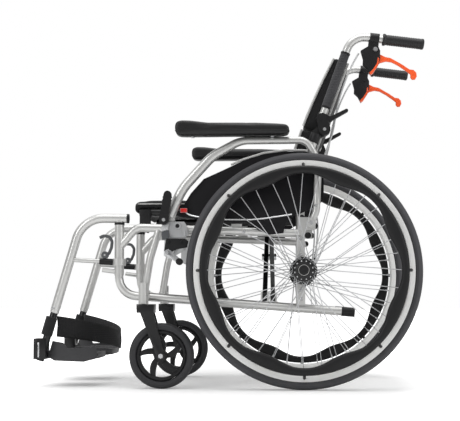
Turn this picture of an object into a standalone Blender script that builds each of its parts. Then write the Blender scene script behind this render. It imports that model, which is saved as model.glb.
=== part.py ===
"""Manual wheelchair: a folding, self-propelled chair, built from separate pieces.

The front of the chair faces -Y, the user's left side is +X and the floor is Z = 0.  Side-view
places are pairs (y, z) with y measured from the rear axle line, which the datum empty carries.
"""
import math

import bmesh
import bpy
from mathutils import Matrix, Vector

# ---------------------------------------------------------------- driving dimensions (metres)
GAP = 0.0004                    # between pieces that touch
AXLE_Y = 0.1907                 # rear axle line, from the middle of the chair's length
FRAME_X = 0.210                 # half the distance between the two side frames
TUBE_R = 0.011                  # side frame tubes
POST_WALL = 0.0015              # of the front post, which sleeves the side tube
POST_R = TUBE_R + POST_WALL     # front post, which the legrest hangs on
CANE_R = 0.0105                 # back tubes
WHEEL_R = 0.305                 # rear wheel, over the tyre
TYRE_DEPTH = 0.020
TYRE_WIDTH = 0.035
RIM_DEPTH = 0.017
RIM_WIDTH = 0.026
PUSH_RIM_INSET = 0.038          # from the tread in to the push rim
PUSH_RIM_R = WHEEL_R - PUSH_RIM_INSET
PUSH_RIM_OFFSET = 0.040         # from the wheel's middle plane
HUB_R = 0.028
AXLE_R = 0.006
SPOKES = 18
CASTER_R = 0.085
CASTER_WIDTH = 0.030
CASTER_TRAIL = 0.0485
SEAT_RAIL_Z = 0.462
RAIL_R = 0.0105
ARM_THICK = 0.012               # cross brace arms, along Y
ARM_END_R = 0.013
CROSS_Y = -0.094                # middle of the cross brace
PIN_R = 0.004
HANDLE_RISE = 0.252             # from the back's fold axis to the push handle's corner
BACK_LEAN = math.radians(20.2)  # of the back tubes above their bend
GRIP_R = 0.014
GRIP_LENGTH = 0.110
PAD_LENGTH = 0.300
PAD_WIDTH = 0.050
FOOTPLATE_WIDTH = 0.135
FOOTPLATE_LENGTH = 0.130

# ---------------------------------------------------------------- places worked out from them
AXLE_Z = WHEEL_R
RAIL_X = FRAME_X - 0.020
CANE_X = FRAME_X - 0.004
HINGE_HALF = CANE_R + 0.004
OUTBOARD = FRAME_X + TUBE_R                     # outer side of the frame tubes
GUARD_X = OUTBOARD + 0.001
GUARD_THICK = 0.0024
ARMREST_HALF = 0.0102                           # half the armrest tube's width along X
ARMREST_X = GUARD_X + GUARD_THICK + 0.0006 + ARMREST_HALF
WHEEL_X = ARMREST_X + ARMREST_HALF + 0.0021 + TYRE_WIDTH / 2
PUSH_RIM_X = WHEEL_X + PUSH_RIM_OFFSET
CASTER_X = OUTBOARD + 0.0225
CASTER_POST_Y = -0.4175
CASTER_TOP_Z = 2 * CASTER_R + 0.0485            # top of the fork, under its housing
POST_Y = -0.487
POST_TOP = 0.428
LOWER_FRONT = Vector((POST_Y, 0.243))           # where the post's line meets the lower tube's
LOWER_REAR = Vector((0.105, 0.199))
UPPER_FRONT = Vector((-0.442, 0.4215))
UPPER_REAR = Vector((-0.007, 0.4035))
REAR_POST_Y = -0.007
BACK_BEND = Vector((REAR_POST_Y, 0.553))         # where the back tubes start to lean
BACK_PIVOT = Vector((0.0575, 0.679))
ARMREST_PIVOT = Vector((0.020, 0.430))
LOCK_HANDLE_PIVOT = Vector((-0.3625, 0.4365))
LOCK_SHOE_PIVOT = Vector((-0.352, 0.352))
LOCK_X = WHEEL_X - 0.0015
LATCH_PIVOT = Vector((-0.525, 0.348))
FOOT_HINGE_X = FRAME_X - 0.024
FOOT_HINGE_Z = 0.085
HANGER_R = 0.012
HANGER_LOW = Vector((-0.659, 0.196))
HANGER_CORNER = Vector((-0.586, 0.4465))
HANGER_BACK = Vector((-0.4665, 0.4447))
ARM_GAP = 0.004                                 # between the two arms of the cross brace
LEFT_ARM_Y = CROSS_Y - (ARM_GAP + ARM_THICK) / 2
RIGHT_ARM_Y = CROSS_Y + (ARM_GAP + ARM_THICK) / 2


def on_line(a, b, y):
    """Height at y on the straight line through the side-view points a and b."""
    return a.y + (b.y - a.y) * (y - a.x) / (b.x - a.x)


CROSS_LOW_Z = on_line(LOWER_FRONT, LOWER_REAR, CROSS_Y) + TUBE_R + 0.0017 + ARM_END_R
CROSS_MID_Z = (CROSS_LOW_Z + SEAT_RAIL_Z) / 2

# ---------------------------------------------------------------- an empty scene
for old in list(bpy.data.objects):
    bpy.data.objects.remove(old, do_unlink=True)

construction = bpy.data.collections.new("construction")
bpy.context.scene.collection.children.link(construction)


def empty(name, place, parent=None):
    """An empty at a chair-frame place (x, y, z); each joint axis has one."""
    holder = bpy.data.objects.new(name, None)
    bpy.context.scene.collection.objects.link(holder)
    holder.parent = parent
    holder["place"] = tuple(place)
    holder.location = Vector(place) - (Vector(parent["place"]) if parent else Vector((0, 0, 0)))
    return holder


datum = empty("chair_datum", (0, 0, 0))
datum.location = (0, AXLE_Y, 0)


def material(name, colour, roughness, metallic=0.0):
    made = bpy.data.materials.new(name)
    made.use_nodes = True
    shader = made.node_tree.nodes["Principled BSDF"]
    shader.inputs["Base Color"].default_value = (*colour, 1)
    shader.inputs["Roughness"].default_value = roughness
    shader.inputs["Metallic"].default_value = metallic
    return made


SILVER = material("silver_paint", (0.62, 0.62, 0.61), 0.32, 0.65)
RIM_SILVER = material("rim_silver", (0.80, 0.80, 0.80), 0.25, 0.7)
BLACK = material("black_plastic", (0.016, 0.016, 0.018), 0.45)
BLACK_METAL = material("black_metal", (0.014, 0.014, 0.015), 0.38, 0.3)
RUBBER = material("tyre_rubber", (0.075, 0.077, 0.080), 0.75)
GRIP = material("grip_rubber", (0.020, 0.020, 0.022), 0.7)
ORANGE = material("orange_plastic", (1.0, 0.10, 0.015), 0.35)
RED = material("red_plastic", (0.74, 0.015, 0.012), 0.35)
GUARD = material("guard_panel", (0.010, 0.009, 0.014), 0.5)
FABRIC = material("black_fabric", (0.014, 0.014, 0.016), 0.85)
PAD = material("pad_foam", (0.015, 0.015, 0.016), 0.55)
PLATE_GREY = material("footplate_plastic", (0.065, 0.065, 0.068), 0.5)
LATCH_GREY = material("latch_grey", (0.22, 0.23, 0.24), 0.4)
STEEL = material("bright_steel", (0.70, 0.70, 0.71), 0.25, 1.0)


# ---------------------------------------------------------------- shapes
def baked(source):
    """The object's evaluated shape as one clean closed mesh; the source object is removed."""
    bpy.context.view_layer.update()
    graph = bpy.context.evaluated_depsgraph_get()
    mesh = bpy.data.meshes.new_from_object(source.evaluated_get(graph))
    bpy.data.objects.remove(source, do_unlink=True)
    shape = bmesh.new()
    shape.from_mesh(mesh)
    bmesh.ops.remove_doubles(shape, verts=shape.verts, dist=1e-6)
    bmesh.ops.recalc_face_normals(shape, faces=shape.faces)
    shape.to_mesh(mesh)
    shape.free()
    mesh.materials.clear()
    return mesh


def piece(mesh):
    """A construction object, in the chair's frame."""
    made = bpy.data.objects.new("construction", mesh)
    construction.objects.link(made)
    made.parent = datum
    made.hide_render = True
    made.display_type = "WIRE"
    return made


def bent(corners, radius, steps=4):
    """Points of a path through the corners, each inner corner turned with the bend radius."""
    corners = [Vector(c) for c in corners]
    radii = radius if isinstance(radius, (list, tuple)) else [radius] * (len(corners) - 2)
    points = [corners[0]]
    for before, corner, after, bend in zip(corners, corners[1:], corners[2:], radii):
        d1 = (corner - before).normalized()
        d2 = (after - corner).normalized()
        turn = d1.angle(d2)
        reach = min(bend * math.tan(turn / 2), 0.48 * (corner - before).length,
                    0.48 * (after - corner).length)
        bend = reach / math.tan(turn / 2)
        across = (d2 - d1 * d1.dot(d2)).normalized()
        centre = corner - d1 * reach + across * bend
        for step in range(steps + 1):
            angle = turn * step / steps
            points.append(centre + bend * (d1 * math.sin(angle) - across * math.cos(angle)))
    points.append(corners[-1])
    return points


def tube(points, radius, resolution=3, thickness=None, cyclic=False):
    """A round bar along the points; thickness gives each point its own share of the radius."""
    data = bpy.data.curves.new("path", "CURVE")
    data.dimensions = "3D"
    data.bevel_depth = radius
    data.bevel_resolution = resolution
    data.use_fill_caps = not cyclic
    spline = data.splines.new("POLY")
    spline.points.add(len(points) - 1)
    spline.use_cyclic_u = cyclic
    for index, (node, point) in enumerate(zip(spline.points, points)):
        node.co = (*point, 1)
        node.radius = thickness[index] if thickness else 1
    path = bpy.data.objects.new("path", data)
    bpy.context.scene.collection.objects.link(path)
    return piece(baked(path))


def side_tube(corners, radius, bend, x, resolution=3, steps=4):
    """A bar whose corners (y, z) lie in the side-view plane at x."""
    return tube(bent([(x, y, z) for y, z in corners], bend, steps), radius, resolution)


def rod(a, b, radius, sides=12):
    """A straight cylinder from a to b."""
    a, b = Vector(a), Vector(b)
    shape = bmesh.new()
    bmesh.ops.create_cone(shape, cap_ends=True, segments=sides, radius1=radius, radius2=radius,
                          depth=(b - a).length)
    turn = (b - a).to_track_quat("Z", "Y").to_matrix().to_4x4()
    shape.transform(Matrix.Translation((a + b) / 2) @ turn)
    mesh = bpy.data.meshes.new("rod")
    shape.to_mesh(mesh)
    shape.free()
    return piece(mesh)


def block(x, y, z):
    """A box between pairs of limits."""
    shape = bmesh.new()
    bmesh.ops.create_cube(shape, size=1)
    size = [max(pair) - min(pair) for pair in (x, y, z)]
    middle = [sum(pair) / 2 for pair in (x, y, z)]
    shape.transform(Matrix.Translation(middle) @ Matrix.Diagonal((*size, 1)))
    mesh = bpy.data.meshes.new("block")
    shape.to_mesh(mesh)
    shape.free()
    return piece(mesh)


SIDE_VIEW = Matrix(((0, 0, 1, 0), (1, 0, 0, 0), (0, 1, 0, 0), (0, 0, 0, 1)))
FRONT_VIEW = Matrix(((1, 0, 0, 0), (0, 0, -1, 0), (0, 1, 0, 0), (0, 0, 0, 1)))


def plate(outline, low, high, view=SIDE_VIEW):
    """A flat outline given thickness between low and high, across the view's plane."""
    low, high = min(low, high), max(low, high)
    data = bpy.data.curves.new("outline", "CURVE")
    data.dimensions = "2D"
    data.fill_mode = "BOTH"
    data.extrude = (high - low) / 2
    spline = data.splines.new("POLY")
    spline.points.add(len(outline) - 1)
    spline.use_cyclic_u = True
    for node, (u, v) in zip(spline.points, outline):
        node.co = (u, v, 0, 1)
    flat = bpy.data.objects.new("outline", data)
    bpy.context.scene.collection.objects.link(flat)
    mesh = baked(flat)
    middle = (low + high) / 2
    mesh.transform(view @ Matrix.Translation((0, 0, middle if view is SIDE_VIEW else -middle)))
    return piece(mesh)


def arc(centre, radius, start, end, steps):
    """Points (u, v) on an arc; angles in degrees from +u towards +v."""
    angles = [math.radians(start + (end - start) * i / steps) for i in range(steps + 1)]
    return [(centre[0] + radius * math.cos(a), centre[1] + radius * math.sin(a)) for a in angles]


def link_outline(a, radius_a, b, radius_b, steps=6):
    """The outline around two circles, as a bar with two round ends has."""
    a, b = Vector(a[:2]), Vector(b[:2])
    heading = math.degrees(math.atan2((b - a).y, (b - a).x))
    spread = math.degrees(math.acos((radius_a - radius_b) / (b - a).length))
    return (arc(b, radius_b, heading - spread, heading + spread, steps)
            + arc(a, radius_a, heading + spread, heading + 360 - spread, steps))


def turned(profile, x, y, z, steps=24):
    """A profile of (x, radius) points turned about the X line through (y, z)."""
    mesh = bpy.data.meshes.new("profile")
    closed = profile[0][1] > 0 and profile[-1][1] > 0
    count = len(profile)
    edges = [(i, i + 1) for i in range(count - 1)] + ([(count - 1, 0)] if closed else [])
    mesh.from_pydata([(along, 0, radius) for along, radius in profile], edges, [])
    lathe = bpy.data.objects.new("profile", mesh)
    bpy.context.scene.collection.objects.link(lathe)
    screw = lathe.modifiers.new("turn", "SCREW")
    screw.axis = "X"
    screw.steps = steps
    screw.render_steps = steps
    screw.use_merge_vertices = True
    screw.merge_threshold = 1e-5
    shape = baked(lathe)
    shape.transform(Matrix.Translation((x, y, z)))
    return piece(shape)


def node(name, base, holder, finish, add=(), cut=()):
    """Names a piece, welds on what it adds, takes out what it cuts, and hangs it on its empty."""
    construction.objects.unlink(base)
    bpy.context.scene.collection.objects.link(base)
    base.name = name
    base.data.name = name
    base.hide_render = False
    base.display_type = "TEXTURED"
    base.parent = holder
    base.location = -Vector(holder["place"])
    base.data.materials.append(finish)
    for operation, tools in (("UNION", add), ("DIFFERENCE", cut)):
        for tool in tools:
            boolean = base.modifiers.new(operation.lower(), "BOOLEAN")
            boolean.operation = operation
            boolean.solver = "EXACT"
            boolean.object = tool
    return base


# ---------------------------------------------------------------- side frame and what is fixed to it
def side_frame(name, side, holder, arm_y):
    x = side * FRAME_X
    lower = side_tube([(POST_Y, POST_TOP), LOWER_FRONT, LOWER_REAR], TUBE_R, 0.05, x)
    post = rod((x, POST_Y, 0.295), (x, POST_Y, POST_TOP), POST_R)
    upper = side_tube([(POST_Y, 0.368), UPPER_FRONT, UPPER_REAR], TUBE_R, 0.04, x)
    diagonal = side_tube([(-0.421, 0.238), (-0.405, 0.339), (-0.381, 0.4185)], 0.010, 0.2, x)
    cap = rod((x, 0.100, on_line(LOWER_FRONT, LOWER_REAR, 0.100)),
              (x, 0.132, on_line(LOWER_FRONT, LOWER_REAR, 0.132)), TUBE_R + 0.0008)
    axle_plate = block((x - side * 0.006, x + side * 0.006),
                       (REAR_POST_Y - 0.011, REAR_POST_Y + 0.011), (0.196, 0.414))
    axle_boss = rod((x - side * 0.008, 0, AXLE_Z), (x + side * 0.010, 0, AXLE_Z), 0.017, 16)
    axle = rod((x, 0, AXLE_Z), (side * (WHEEL_X + 0.0305), 0, AXLE_Z), AXLE_R)
    axle_cap = rod((side * (WHEEL_X + 0.0275 + GAP), 0, AXLE_Z),
                   (side * (WHEEL_X + 0.0315), 0, AXLE_Z), 0.014, 16)
    cane = side_tube([(REAR_POST_Y, 0.385), BACK_BEND, lower_cane_end()], CANE_R, 0.12,
                     side * CANE_X)
    housing = rod((side * CASTER_X, CASTER_POST_Y, CASTER_TOP_Z + GAP),
                  (side * CASTER_X, CASTER_POST_Y, CASTER_TOP_Z + 0.055), 0.013, 16)
    tube_z = on_line(LOWER_FRONT, LOWER_REAR, CASTER_POST_Y)
    gusset = block((x, side * (CASTER_X - 0.004)), (CASTER_POST_Y - 0.013, CASTER_POST_Y + 0.013),
                   (min(CASTER_TOP_Z + 0.008, tube_z), max(CASTER_TOP_Z + 0.036, tube_z)))
    horn = rod((x, POST_Y, 0.303), (x, POST_Y - 0.045, 0.309), 0.006, 8)
    saddles = []
    for start in (-0.433, -0.190):
        tube_z = on_line(UPPER_FRONT, UPPER_REAR, start)
        rail_out = side * (RAIL_X + RAIL_R + 0.0012)
        saddles.append(block((rail_out, rail_out + side * 0.006), (start, start + 0.028),
                             (tube_z, SEAT_RAIL_Z + 0.006)))
        saddles.append(block((rail_out + side * 0.003, side * (RAIL_X - 0.006)),
                             (start, start + 0.028),
                             (SEAT_RAIL_Z - RAIL_R - 0.012, SEAT_RAIL_Z - RAIL_R - GAP)))
    clevis_foot = block((side * (RAIL_X - 0.012), x), (arm_y - 0.014, arm_y + 0.014),
                        (CROSS_LOW_Z - ARM_END_R - 0.012, CROSS_LOW_Z - ARM_END_R - 0.0012))
    cheeks = [block((side * (RAIL_X - 0.012), side * (RAIL_X + 0.012)),
                    (arm_y + way * (ARM_THICK / 2 + GAP), arm_y + way * 0.0105),
                    (CROSS_LOW_Z - ARM_END_R - 0.006, CROSS_LOW_Z + 0.011)) for way in (-1, 1)]
    pin = rod((side * RAIL_X, arm_y - 0.0085, CROSS_LOW_Z), (side * RAIL_X, arm_y + 0.0085, CROSS_LOW_Z),
              PIN_R)
    armrest_bracket = block((x - side * 0.004, side * (OUTBOARD + 0.0003)), (-0.012, 0.032),
                            (0.414, 0.446))
    armrest_pin = rod((x, *ARMREST_PIVOT), (side * (ARMREST_X + 0.007), *ARMREST_PIVOT), 0.005)
    peg_foot = block((x, side * (OUTBOARD + 0.0003)), (-0.3515, -0.337), (0.418, 0.447))
    peg = block((x, side * (ARMREST_X + 0.006)), (-0.3515, -0.337), (0.4365, 0.447))
    caster_bore = rod((side * CASTER_X, CASTER_POST_Y, CASTER_TOP_Z - 0.01),
                      (side * CASTER_X, CASTER_POST_Y, CASTER_TOP_Z + 0.046), 0.006 + GAP)
    post_bore = rod((x, POST_Y, POST_TOP - 0.030), (x, POST_Y, POST_TOP + 0.02), 0.006 + GAP)
    return node(name, lower, holder, SILVER,
                add=[post, upper, diagonal, cap, axle_plate, axle_boss, axle, axle_cap, cane, housing,
                     gusset, horn, *saddles, clevis_foot, *cheeks, pin, armrest_bracket, armrest_pin,
                     peg_foot, peg],
                cut=[caster_bore, post_bore])


CANE_WAY = Vector((math.sin(BACK_LEAN), math.cos(BACK_LEAN)))


def lower_cane_end():
    return BACK_BEND + CANE_WAY * 0.098


def back_hinge(name, side, holder):
    """The fixed half of the back's folding joint: a socket on the cane and the inner lap plate."""
    start = lower_cane_end() + CANE_WAY * GAP
    end = start + CANE_WAY * 0.024
    x = side * CANE_X
    socket = rod((x, *start), (x, *end), HINGE_HALF, 16)
    lap = plate(link_outline(end, HINGE_HALF - 0.001, BACK_PIVOT, 0.016),
                side * (CANE_X - HINGE_HALF + 0.001), side * (CANE_X - 0.0006))
    pin = rod((side * (CANE_X - 0.006), *BACK_PIVOT), (side * (CANE_X + HINGE_HALF - 0.001), *BACK_PIVOT),
              PIN_R)
    return node(name, socket, holder, BLACK, add=[lap, pin])


def upper_cane_start():
    """Where the folding part's tube leaves its knuckle, in line with the lower cane."""
    return lower_cane_end() + CANE_WAY * 0.066


def handle_corner():
    rise = (HANDLE_RISE - (upper_cane_start().y - BACK_PIVOT.y)) / CANE_WAY.y
    return upper_cane_start() + CANE_WAY * rise


HANDLE_WAY = Vector((0.9913, -0.1316))


def grip_start():
    return handle_corner() + HANDLE_WAY * 0.082


def back_cane(name, side, holder):
    x = side * CANE_X
    bottom = upper_cane_start()
    path = [bottom, handle_corner(), grip_start() - HANDLE_WAY * GAP]
    pole = side_tube(path, CANE_R, 0.065, x, steps=6)
    socket = rod((x, *(bottom - CANE_WAY * 0.004)), (x, *(bottom + CANE_WAY * 0.016)), HINGE_HALF, 16)
    lap = plate(link_outline(bottom + CANE_WAY * 0.002, HINGE_HALF - 0.001, BACK_PIVOT, 0.016),
                side * CANE_X, side * (CANE_X + HINGE_HALF - 0.001))
    ears = [plate(link_outline(RELEASE_PIVOT, 0.0065, bottom, 0.010), side * CANE_X + way * 0.0075,
                  side * CANE_X + way * 0.0100) for way in (-1, 1)]
    release_pin = rod((x - 0.009, *RELEASE_PIVOT), (x + 0.009, *RELEASE_PIVOT), 0.002, 8)
    bore = rod((side * (CANE_X - 0.012), *BACK_PIVOT), (side * (CANE_X + 0.02), *BACK_PIVOT),
               PIN_R + GAP)
    return node(name, pole, holder, SILVER, add=[socket, lap, *ears, release_pin], cut=[bore])


RELEASE_PIVOT = upper_cane_start() + Vector((0.0245, 0.001))


def back_release_lever(name, side, holder):
    x = side * CANE_X
    tip = RELEASE_PIVOT + Vector((0.042, 0.022))
    lever = plate(link_outline(RELEASE_PIVOT, 0.0060, tip, 0.0045), x - 0.0070, x + 0.0070)
    bore = rod((x - 0.012, *RELEASE_PIVOT), (x + 0.012, *RELEASE_PIVOT), 0.002 + GAP, 8)
    return node(name, lever, holder, BLACK, cut=[bore])


def hand_grip(name, side, holder):
    lathe = turned([(0, 0), (0, GRIP_R + 0.001), (0.004, GRIP_R + 0.002), (0.009, GRIP_R),
                    (0.070, GRIP_R - 0.001), (GRIP_LENGTH - 0.008, GRIP_R + 0.0005),
                    (GRIP_LENGTH - 0.003, GRIP_R), (GRIP_LENGTH, GRIP_R - 0.004), (GRIP_LENGTH, 0)],
                   0, 0, 0, 12)
    way = Vector((0, *HANDLE_WAY))
    turn = way.to_track_quat("X", "Z").to_matrix().to_4x4()
    lathe.data.transform(Matrix.Translation((side * CANE_X, *grip_start())) @ turn)
    return node(name, lathe, holder, GRIP)


# ---------------------------------------------------------------- brake at the push handle
def from_handle(along, down):
    """A place by its distance along the push handle from its corner, and below its axis."""
    return handle_corner() + HANDLE_WAY * along + Vector((-HANDLE_WAY.y, HANDLE_WAY.x)) * -down


def brake_pivot():
    return from_handle(0.066, 0.032)


BRAKE_HALF = 0.009
LEVER_HALF = 0.0034


def brake_housing(name, side, holder):
    x = side * CANE_X
    body = plate([from_handle(*p) for p in
                  ((0.046, 0.000), (0.073, 0.000), (0.073, 0.022), (0.079, 0.032), (0.081, 0.052),
                   (0.079, 0.070), (0.068, 0.092), (0.062, 0.099), (0.051, 0.083), (0.038, 0.073),
                   (0.037, 0.059), (0.028, 0.038), (0.046, 0.024))],
                 x - BRAKE_HALF, x + BRAKE_HALF)
    clamp = rod((x, *from_handle(0.048, 0)), (x, *from_handle(0.073, 0)), CANE_R + 0.004, 16)
    bore = rod((x, *from_handle(0.030, 0)), (x, *from_handle(0.080, 0)), CANE_R + GAP)
    slot = plate([from_handle(*p) for p in
                  ((0.020, 0.046), (0.052, 0.046), (0.052, 0.020), (0.095, 0.020), (0.095, 0.110),
                   (0.020, 0.110))],
                 x - LEVER_HALF - GAP, x + LEVER_HALF + GAP)
    pin = rod((x - BRAKE_HALF - 0.0015, *brake_pivot()), (x + BRAKE_HALF + 0.0015, *brake_pivot()),
              0.003, 8)
    pin_hole = rod((x - 0.02, *brake_pivot()), (x + 0.02, *brake_pivot()), 0.0025, 8)
    made = node(name, body, holder, BLACK, add=[clamp], cut=[bore, slot, pin_hole])
    weld = made.modifiers.new("union", "BOOLEAN")
    weld.operation = "UNION"
    weld.solver = "EXACT"
    weld.object = pin
    return made


def brake_lever(name, side, holder):
    x = side * CANE_X
    lever = plate([from_handle(*p) for p in
                   ((0.060, 0.0265), (0.068, 0.0240), (0.078, 0.040), (0.095, 0.046), (0.109, 0.047),
                    (0.123, 0.053), (0.142, 0.061), (0.162, 0.0715), (0.173, 0.072), (0.181, 0.079),
                    (0.183, 0.090), (0.178, 0.099), (0.169, 0.095), (0.168, 0.086), (0.151, 0.076),
                    (0.132, 0.066), (0.113, 0.0585), (0.098, 0.058), (0.083, 0.064), (0.076, 0.072),
                    (0.066, 0.090), (0.062, 0.086), (0.062, 0.060))],
                  x - LEVER_HALF, x + LEVER_HALF)
    bore = rod((x - 0.01, *brake_pivot()), (x + 0.01, *brake_pivot()), 0.003 + GAP, 8)
    return node(name, lever, holder, ORANGE, cut=[bore])


def brake_cable(name, side, holder):
    """From the housing, down behind the cane and past its fold, to the hub's drum."""
    route = [(0.2060, 0.150, 0.884), (0.2040, 0.137, 0.862), (0.2000, 0.120, 0.826),
             (0.1960, 0.106, 0.788), (0.1925, 0.094, 0.748), (0.1905, 0.087, 0.712),
             (0.1905, 0.080, 0.676), (0.1935, 0.068, 0.640), (0.1960, 0.050, 0.590),
             (0.1970, 0.034, 0.530), (0.1970, 0.034, 0.470), (0.1980, 0.038, 0.430),
             (0.2050, 0.037, 0.395), (0.2160, 0.033, 0.360), (0.2245, 0.030, 0.335)]
    shift = handle_corner() - Vector((0.1322, 0.931))
    points = [Vector((side * x, y, z)) for x, y, z in route]
    points[0] += Vector((0, shift.x, shift.y))
    smooth = []
    for i in range(len(points) - 1):
        p0, p1 = points[max(i - 1, 0)], points[i]
        p2, p3 = points[i + 1], points[min(i + 2, len(points) - 1)]
        for t in (0, 0.5):
            smooth.append(0.5 * (2 * p1 + (p2 - p0) * t + (2 * p0 - 5 * p1 + 4 * p2 - p3) * t ** 2
                                 + (3 * p1 - p0 - 3 * p2 + p3) * t ** 3))
    smooth.append(points[-1])
    return node(name, tube(smooth, 0.0023, 1), holder, STEEL)


# ---------------------------------------------------------------- armrest
def armrest_frame(name, side, holder):
    path = bent([(0, -0.350, 0.4478), (0, -0.318, 0.520), (0, -0.240, 0.606), (0, -0.165, 0.6475),
                 (0, 0.010, 0.6475), (0, 0.040, 0.590), (0, 0.034, 0.460), (0, *ARMREST_PIVOT)],
                [0.15, 0.12, 0.08, 0.035, 0.06, 0.05])
    share = [1.30 - 0.35 * min(1, max(0, (p.y + 0.34) / 0.17)) for p in path]
    bar = tube(path, 0.0100, 3, share)
    boss = rod((-0.0102, *ARMREST_PIVOT), (0.0102, *ARMREST_PIVOT), 0.013, 16)
    bar.data.transform(Matrix.Translation((side * ARMREST_X, 0, 0)) @ Matrix.Diagonal((0.78, 1, 1, 1)))
    boss.data.transform(Matrix.Translation((side * ARMREST_X, 0, 0)) @ Matrix.Diagonal((0.9, 1, 1, 1)))
    bore = rod((side * (ARMREST_X - 0.03), *ARMREST_PIVOT), (side * (ARMREST_X + 0.0074), *ARMREST_PIVOT),
               0.005 + GAP)
    foot = block((side * (ARMREST_X - 0.03), side * (ARMREST_X + 0.03)), (-0.39, -0.33), (0.43, 0.4474))
    return node(name, bar, holder, SILVER, add=[boss], cut=[bore, foot])


def armrest_pad(name, side, holder):
    inner = ARMREST_X - 0.0085
    rear = -0.035
    front = rear - PAD_LENGTH
    body = plate([(front, 0.670), (front + 0.010, 0.6578), (rear - 0.010, 0.6578), (rear, 0.666),
                  (rear - 0.001, 0.679), (rear - 0.012, 0.687), (front + 0.085, 0.6905),
                  (front + 0.040, 0.6965), (front + 0.010, 0.698), (front, 0.689)],
                 side * inner, side * (inner + PAD_WIDTH))
    return node(name, body, holder, PAD)


def side_guard(name, side, holder):
    lobe = arc((0.0, 0.404), 0.052, 180, 96, 5)
    panel = plate([(-0.330, 0.449), (-0.318, 0.474), (-0.296, 0.510), (-0.262, 0.548), (-0.215, 0.569),
                   (-0.160, 0.595), (-0.105, 0.612), (-0.045, 0.620), (0.010, 0.6185),
                   (0.046, 0.602), (0.054, 0.575), (0.054, 0.492), (0.040, 0.477), *reversed(lobe),
                   (-0.090, 0.400), (-0.112, 0.409), (-0.150, 0.432), (-0.230, 0.433)],
                  side * GUARD_X, side * (GUARD_X + GUARD_THICK))
    return node(name, panel, holder, GUARD)


def armrest_release(name, side, holder):
    x = ARMREST_X - 0.0080
    bar = side_tube([(-0.312, 0.4635), (-0.302, 0.453), (-0.278, 0.4475), (-0.218, 0.4405),
                     (-0.139, 0.4395), (-0.105, 0.442), (-0.030, 0.453)], 0.002, 0.02, side * x, 1, 2)
    tab = block((side * (x - 0.0015), side * (x + 0.010)), (-0.3225, -0.305), (0.4585, 0.4695))
    return node(name, bar, holder, RED, add=[tab])


# ---------------------------------------------------------------- wheels
def rear_wheel(prefix, side, holder):
    place = (side * WHEEL_X, 0, AXLE_Z)
    bead = WHEEL_R - TYRE_DEPTH
    half = TYRE_WIDTH / 2
    tyre = [(half * math.cos(a), WHEEL_R - TYRE_DEPTH / 2 + TYRE_DEPTH / 2 * math.sin(a))
            for a in (math.radians(22.5 + 45 * i) for i in range(8))]
    tyre = [(along, min(max(r, bead), WHEEL_R)) for along, r in tyre]
    squash = TYRE_DEPTH / 2 * math.sin(math.radians(67.5))
    middle = WHEEL_R - TYRE_DEPTH / 2
    tyre = [(along, middle + (r - middle) * (TYRE_DEPTH / 2) / squash) for along, r in tyre]
    node(prefix + "_rear_tyre", turned(tyre, *place, 40), holder, RUBBER)
    edge = RIM_WIDTH / 2
    top = bead - GAP
    rim = turned([(-edge, top), (edge, top), (edge, top - RIM_DEPTH * 0.75),
                  (edge * 0.5, top - RIM_DEPTH), (-edge * 0.5, top - RIM_DEPTH),
                  (-edge, top - RIM_DEPTH * 0.75)], *place, 40)
    node(prefix + "_rear_rim", rim, holder, RIM_SILVER)
    outer = [(0.0275, 0), (0.0275, 0.018), (0.022, 0.020), (0.021, HUB_R), (0.014, HUB_R),
             (0.012, 0.018), (-0.012, 0.018), (-0.013, 0.036), (-0.028, 0.036), (-0.028, 0)]
    hub = turned([(side * along, r) for along, r in outer], *place, 16)
    spokes = []
    for index in range(SPOKES):
        angle = 2 * math.pi * (index + 0.5) / SPOKES
        across, up = math.cos(angle), math.sin(angle)
        near = side * (0.0175 if index % 2 else -0.016)
        reach = top - RIM_DEPTH - 0.0022
        spokes.append(rod((place[0] + near, 0.022 * across, AXLE_Z + 0.022 * up),
                          (place[0] + near * 0.1, reach * across, AXLE_Z + reach * up), 0.0012, 5))
    bore = rod((place[0] - 0.05, 0, AXLE_Z), (place[0] + 0.05, 0, AXLE_Z), AXLE_R + GAP)
    node(prefix + "_rear_hub", hub, holder, BLACK_METAL, add=spokes, cut=[bore])
    push_rim(prefix + "_push_rim", side, holder, top - RIM_DEPTH)


def push_rim(name, side, holder, rim_inner):
    """A wavy ring with eight inward lobes, on tabs that reach to the wheel's rim."""
    segments, lobes = 48, 8
    points, share = [], []
    for index in range(segments):
        angle = 2 * math.pi * index / segments
        wave = 0.5 + 0.5 * math.cos(lobes * (angle - math.radians(22.5)))
        width = 0.014 + 0.013 * wave ** 1.5
        radius = PUSH_RIM_R - width / 2
        points.append((0, radius * math.cos(angle), radius * math.sin(angle)))
        share.append(width / 0.028)
    ring = tube(points, 0.014, 1, share, cyclic=True)
    ring.data.transform(Matrix.Translation((side * PUSH_RIM_X, 0, AXLE_Z))
                        @ Matrix.Diagonal((0.72, 1, 1, 1)))
    tabs = []
    inner = WHEEL_X + RIM_WIDTH / 2 + 0.0005
    for index in range(lobes):
        angle = 2 * math.pi * index / lobes
        across, up = math.cos(angle), math.sin(angle)
        near, far = PUSH_RIM_R - 0.008, rim_inner + 0.007
        tabs.append(rod((side * PUSH_RIM_X, near * across, AXLE_Z + near * up),
                        (side * inner, far * across, AXLE_Z + far * up), 0.0042, 6))
    clear = turned([(-RIM_WIDTH / 2 - 0.001, rim_inner - 0.004), (RIM_WIDTH / 2 + GAP, rim_inner - 0.004),
                    (RIM_WIDTH / 2 + GAP, WHEEL_R), (-RIM_WIDTH / 2 - 0.001, WHEEL_R)],
                   side * WHEEL_X, 0, AXLE_Z, 40)
    return node(name, ring, holder, BLACK, add=tabs, cut=[clear])


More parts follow.
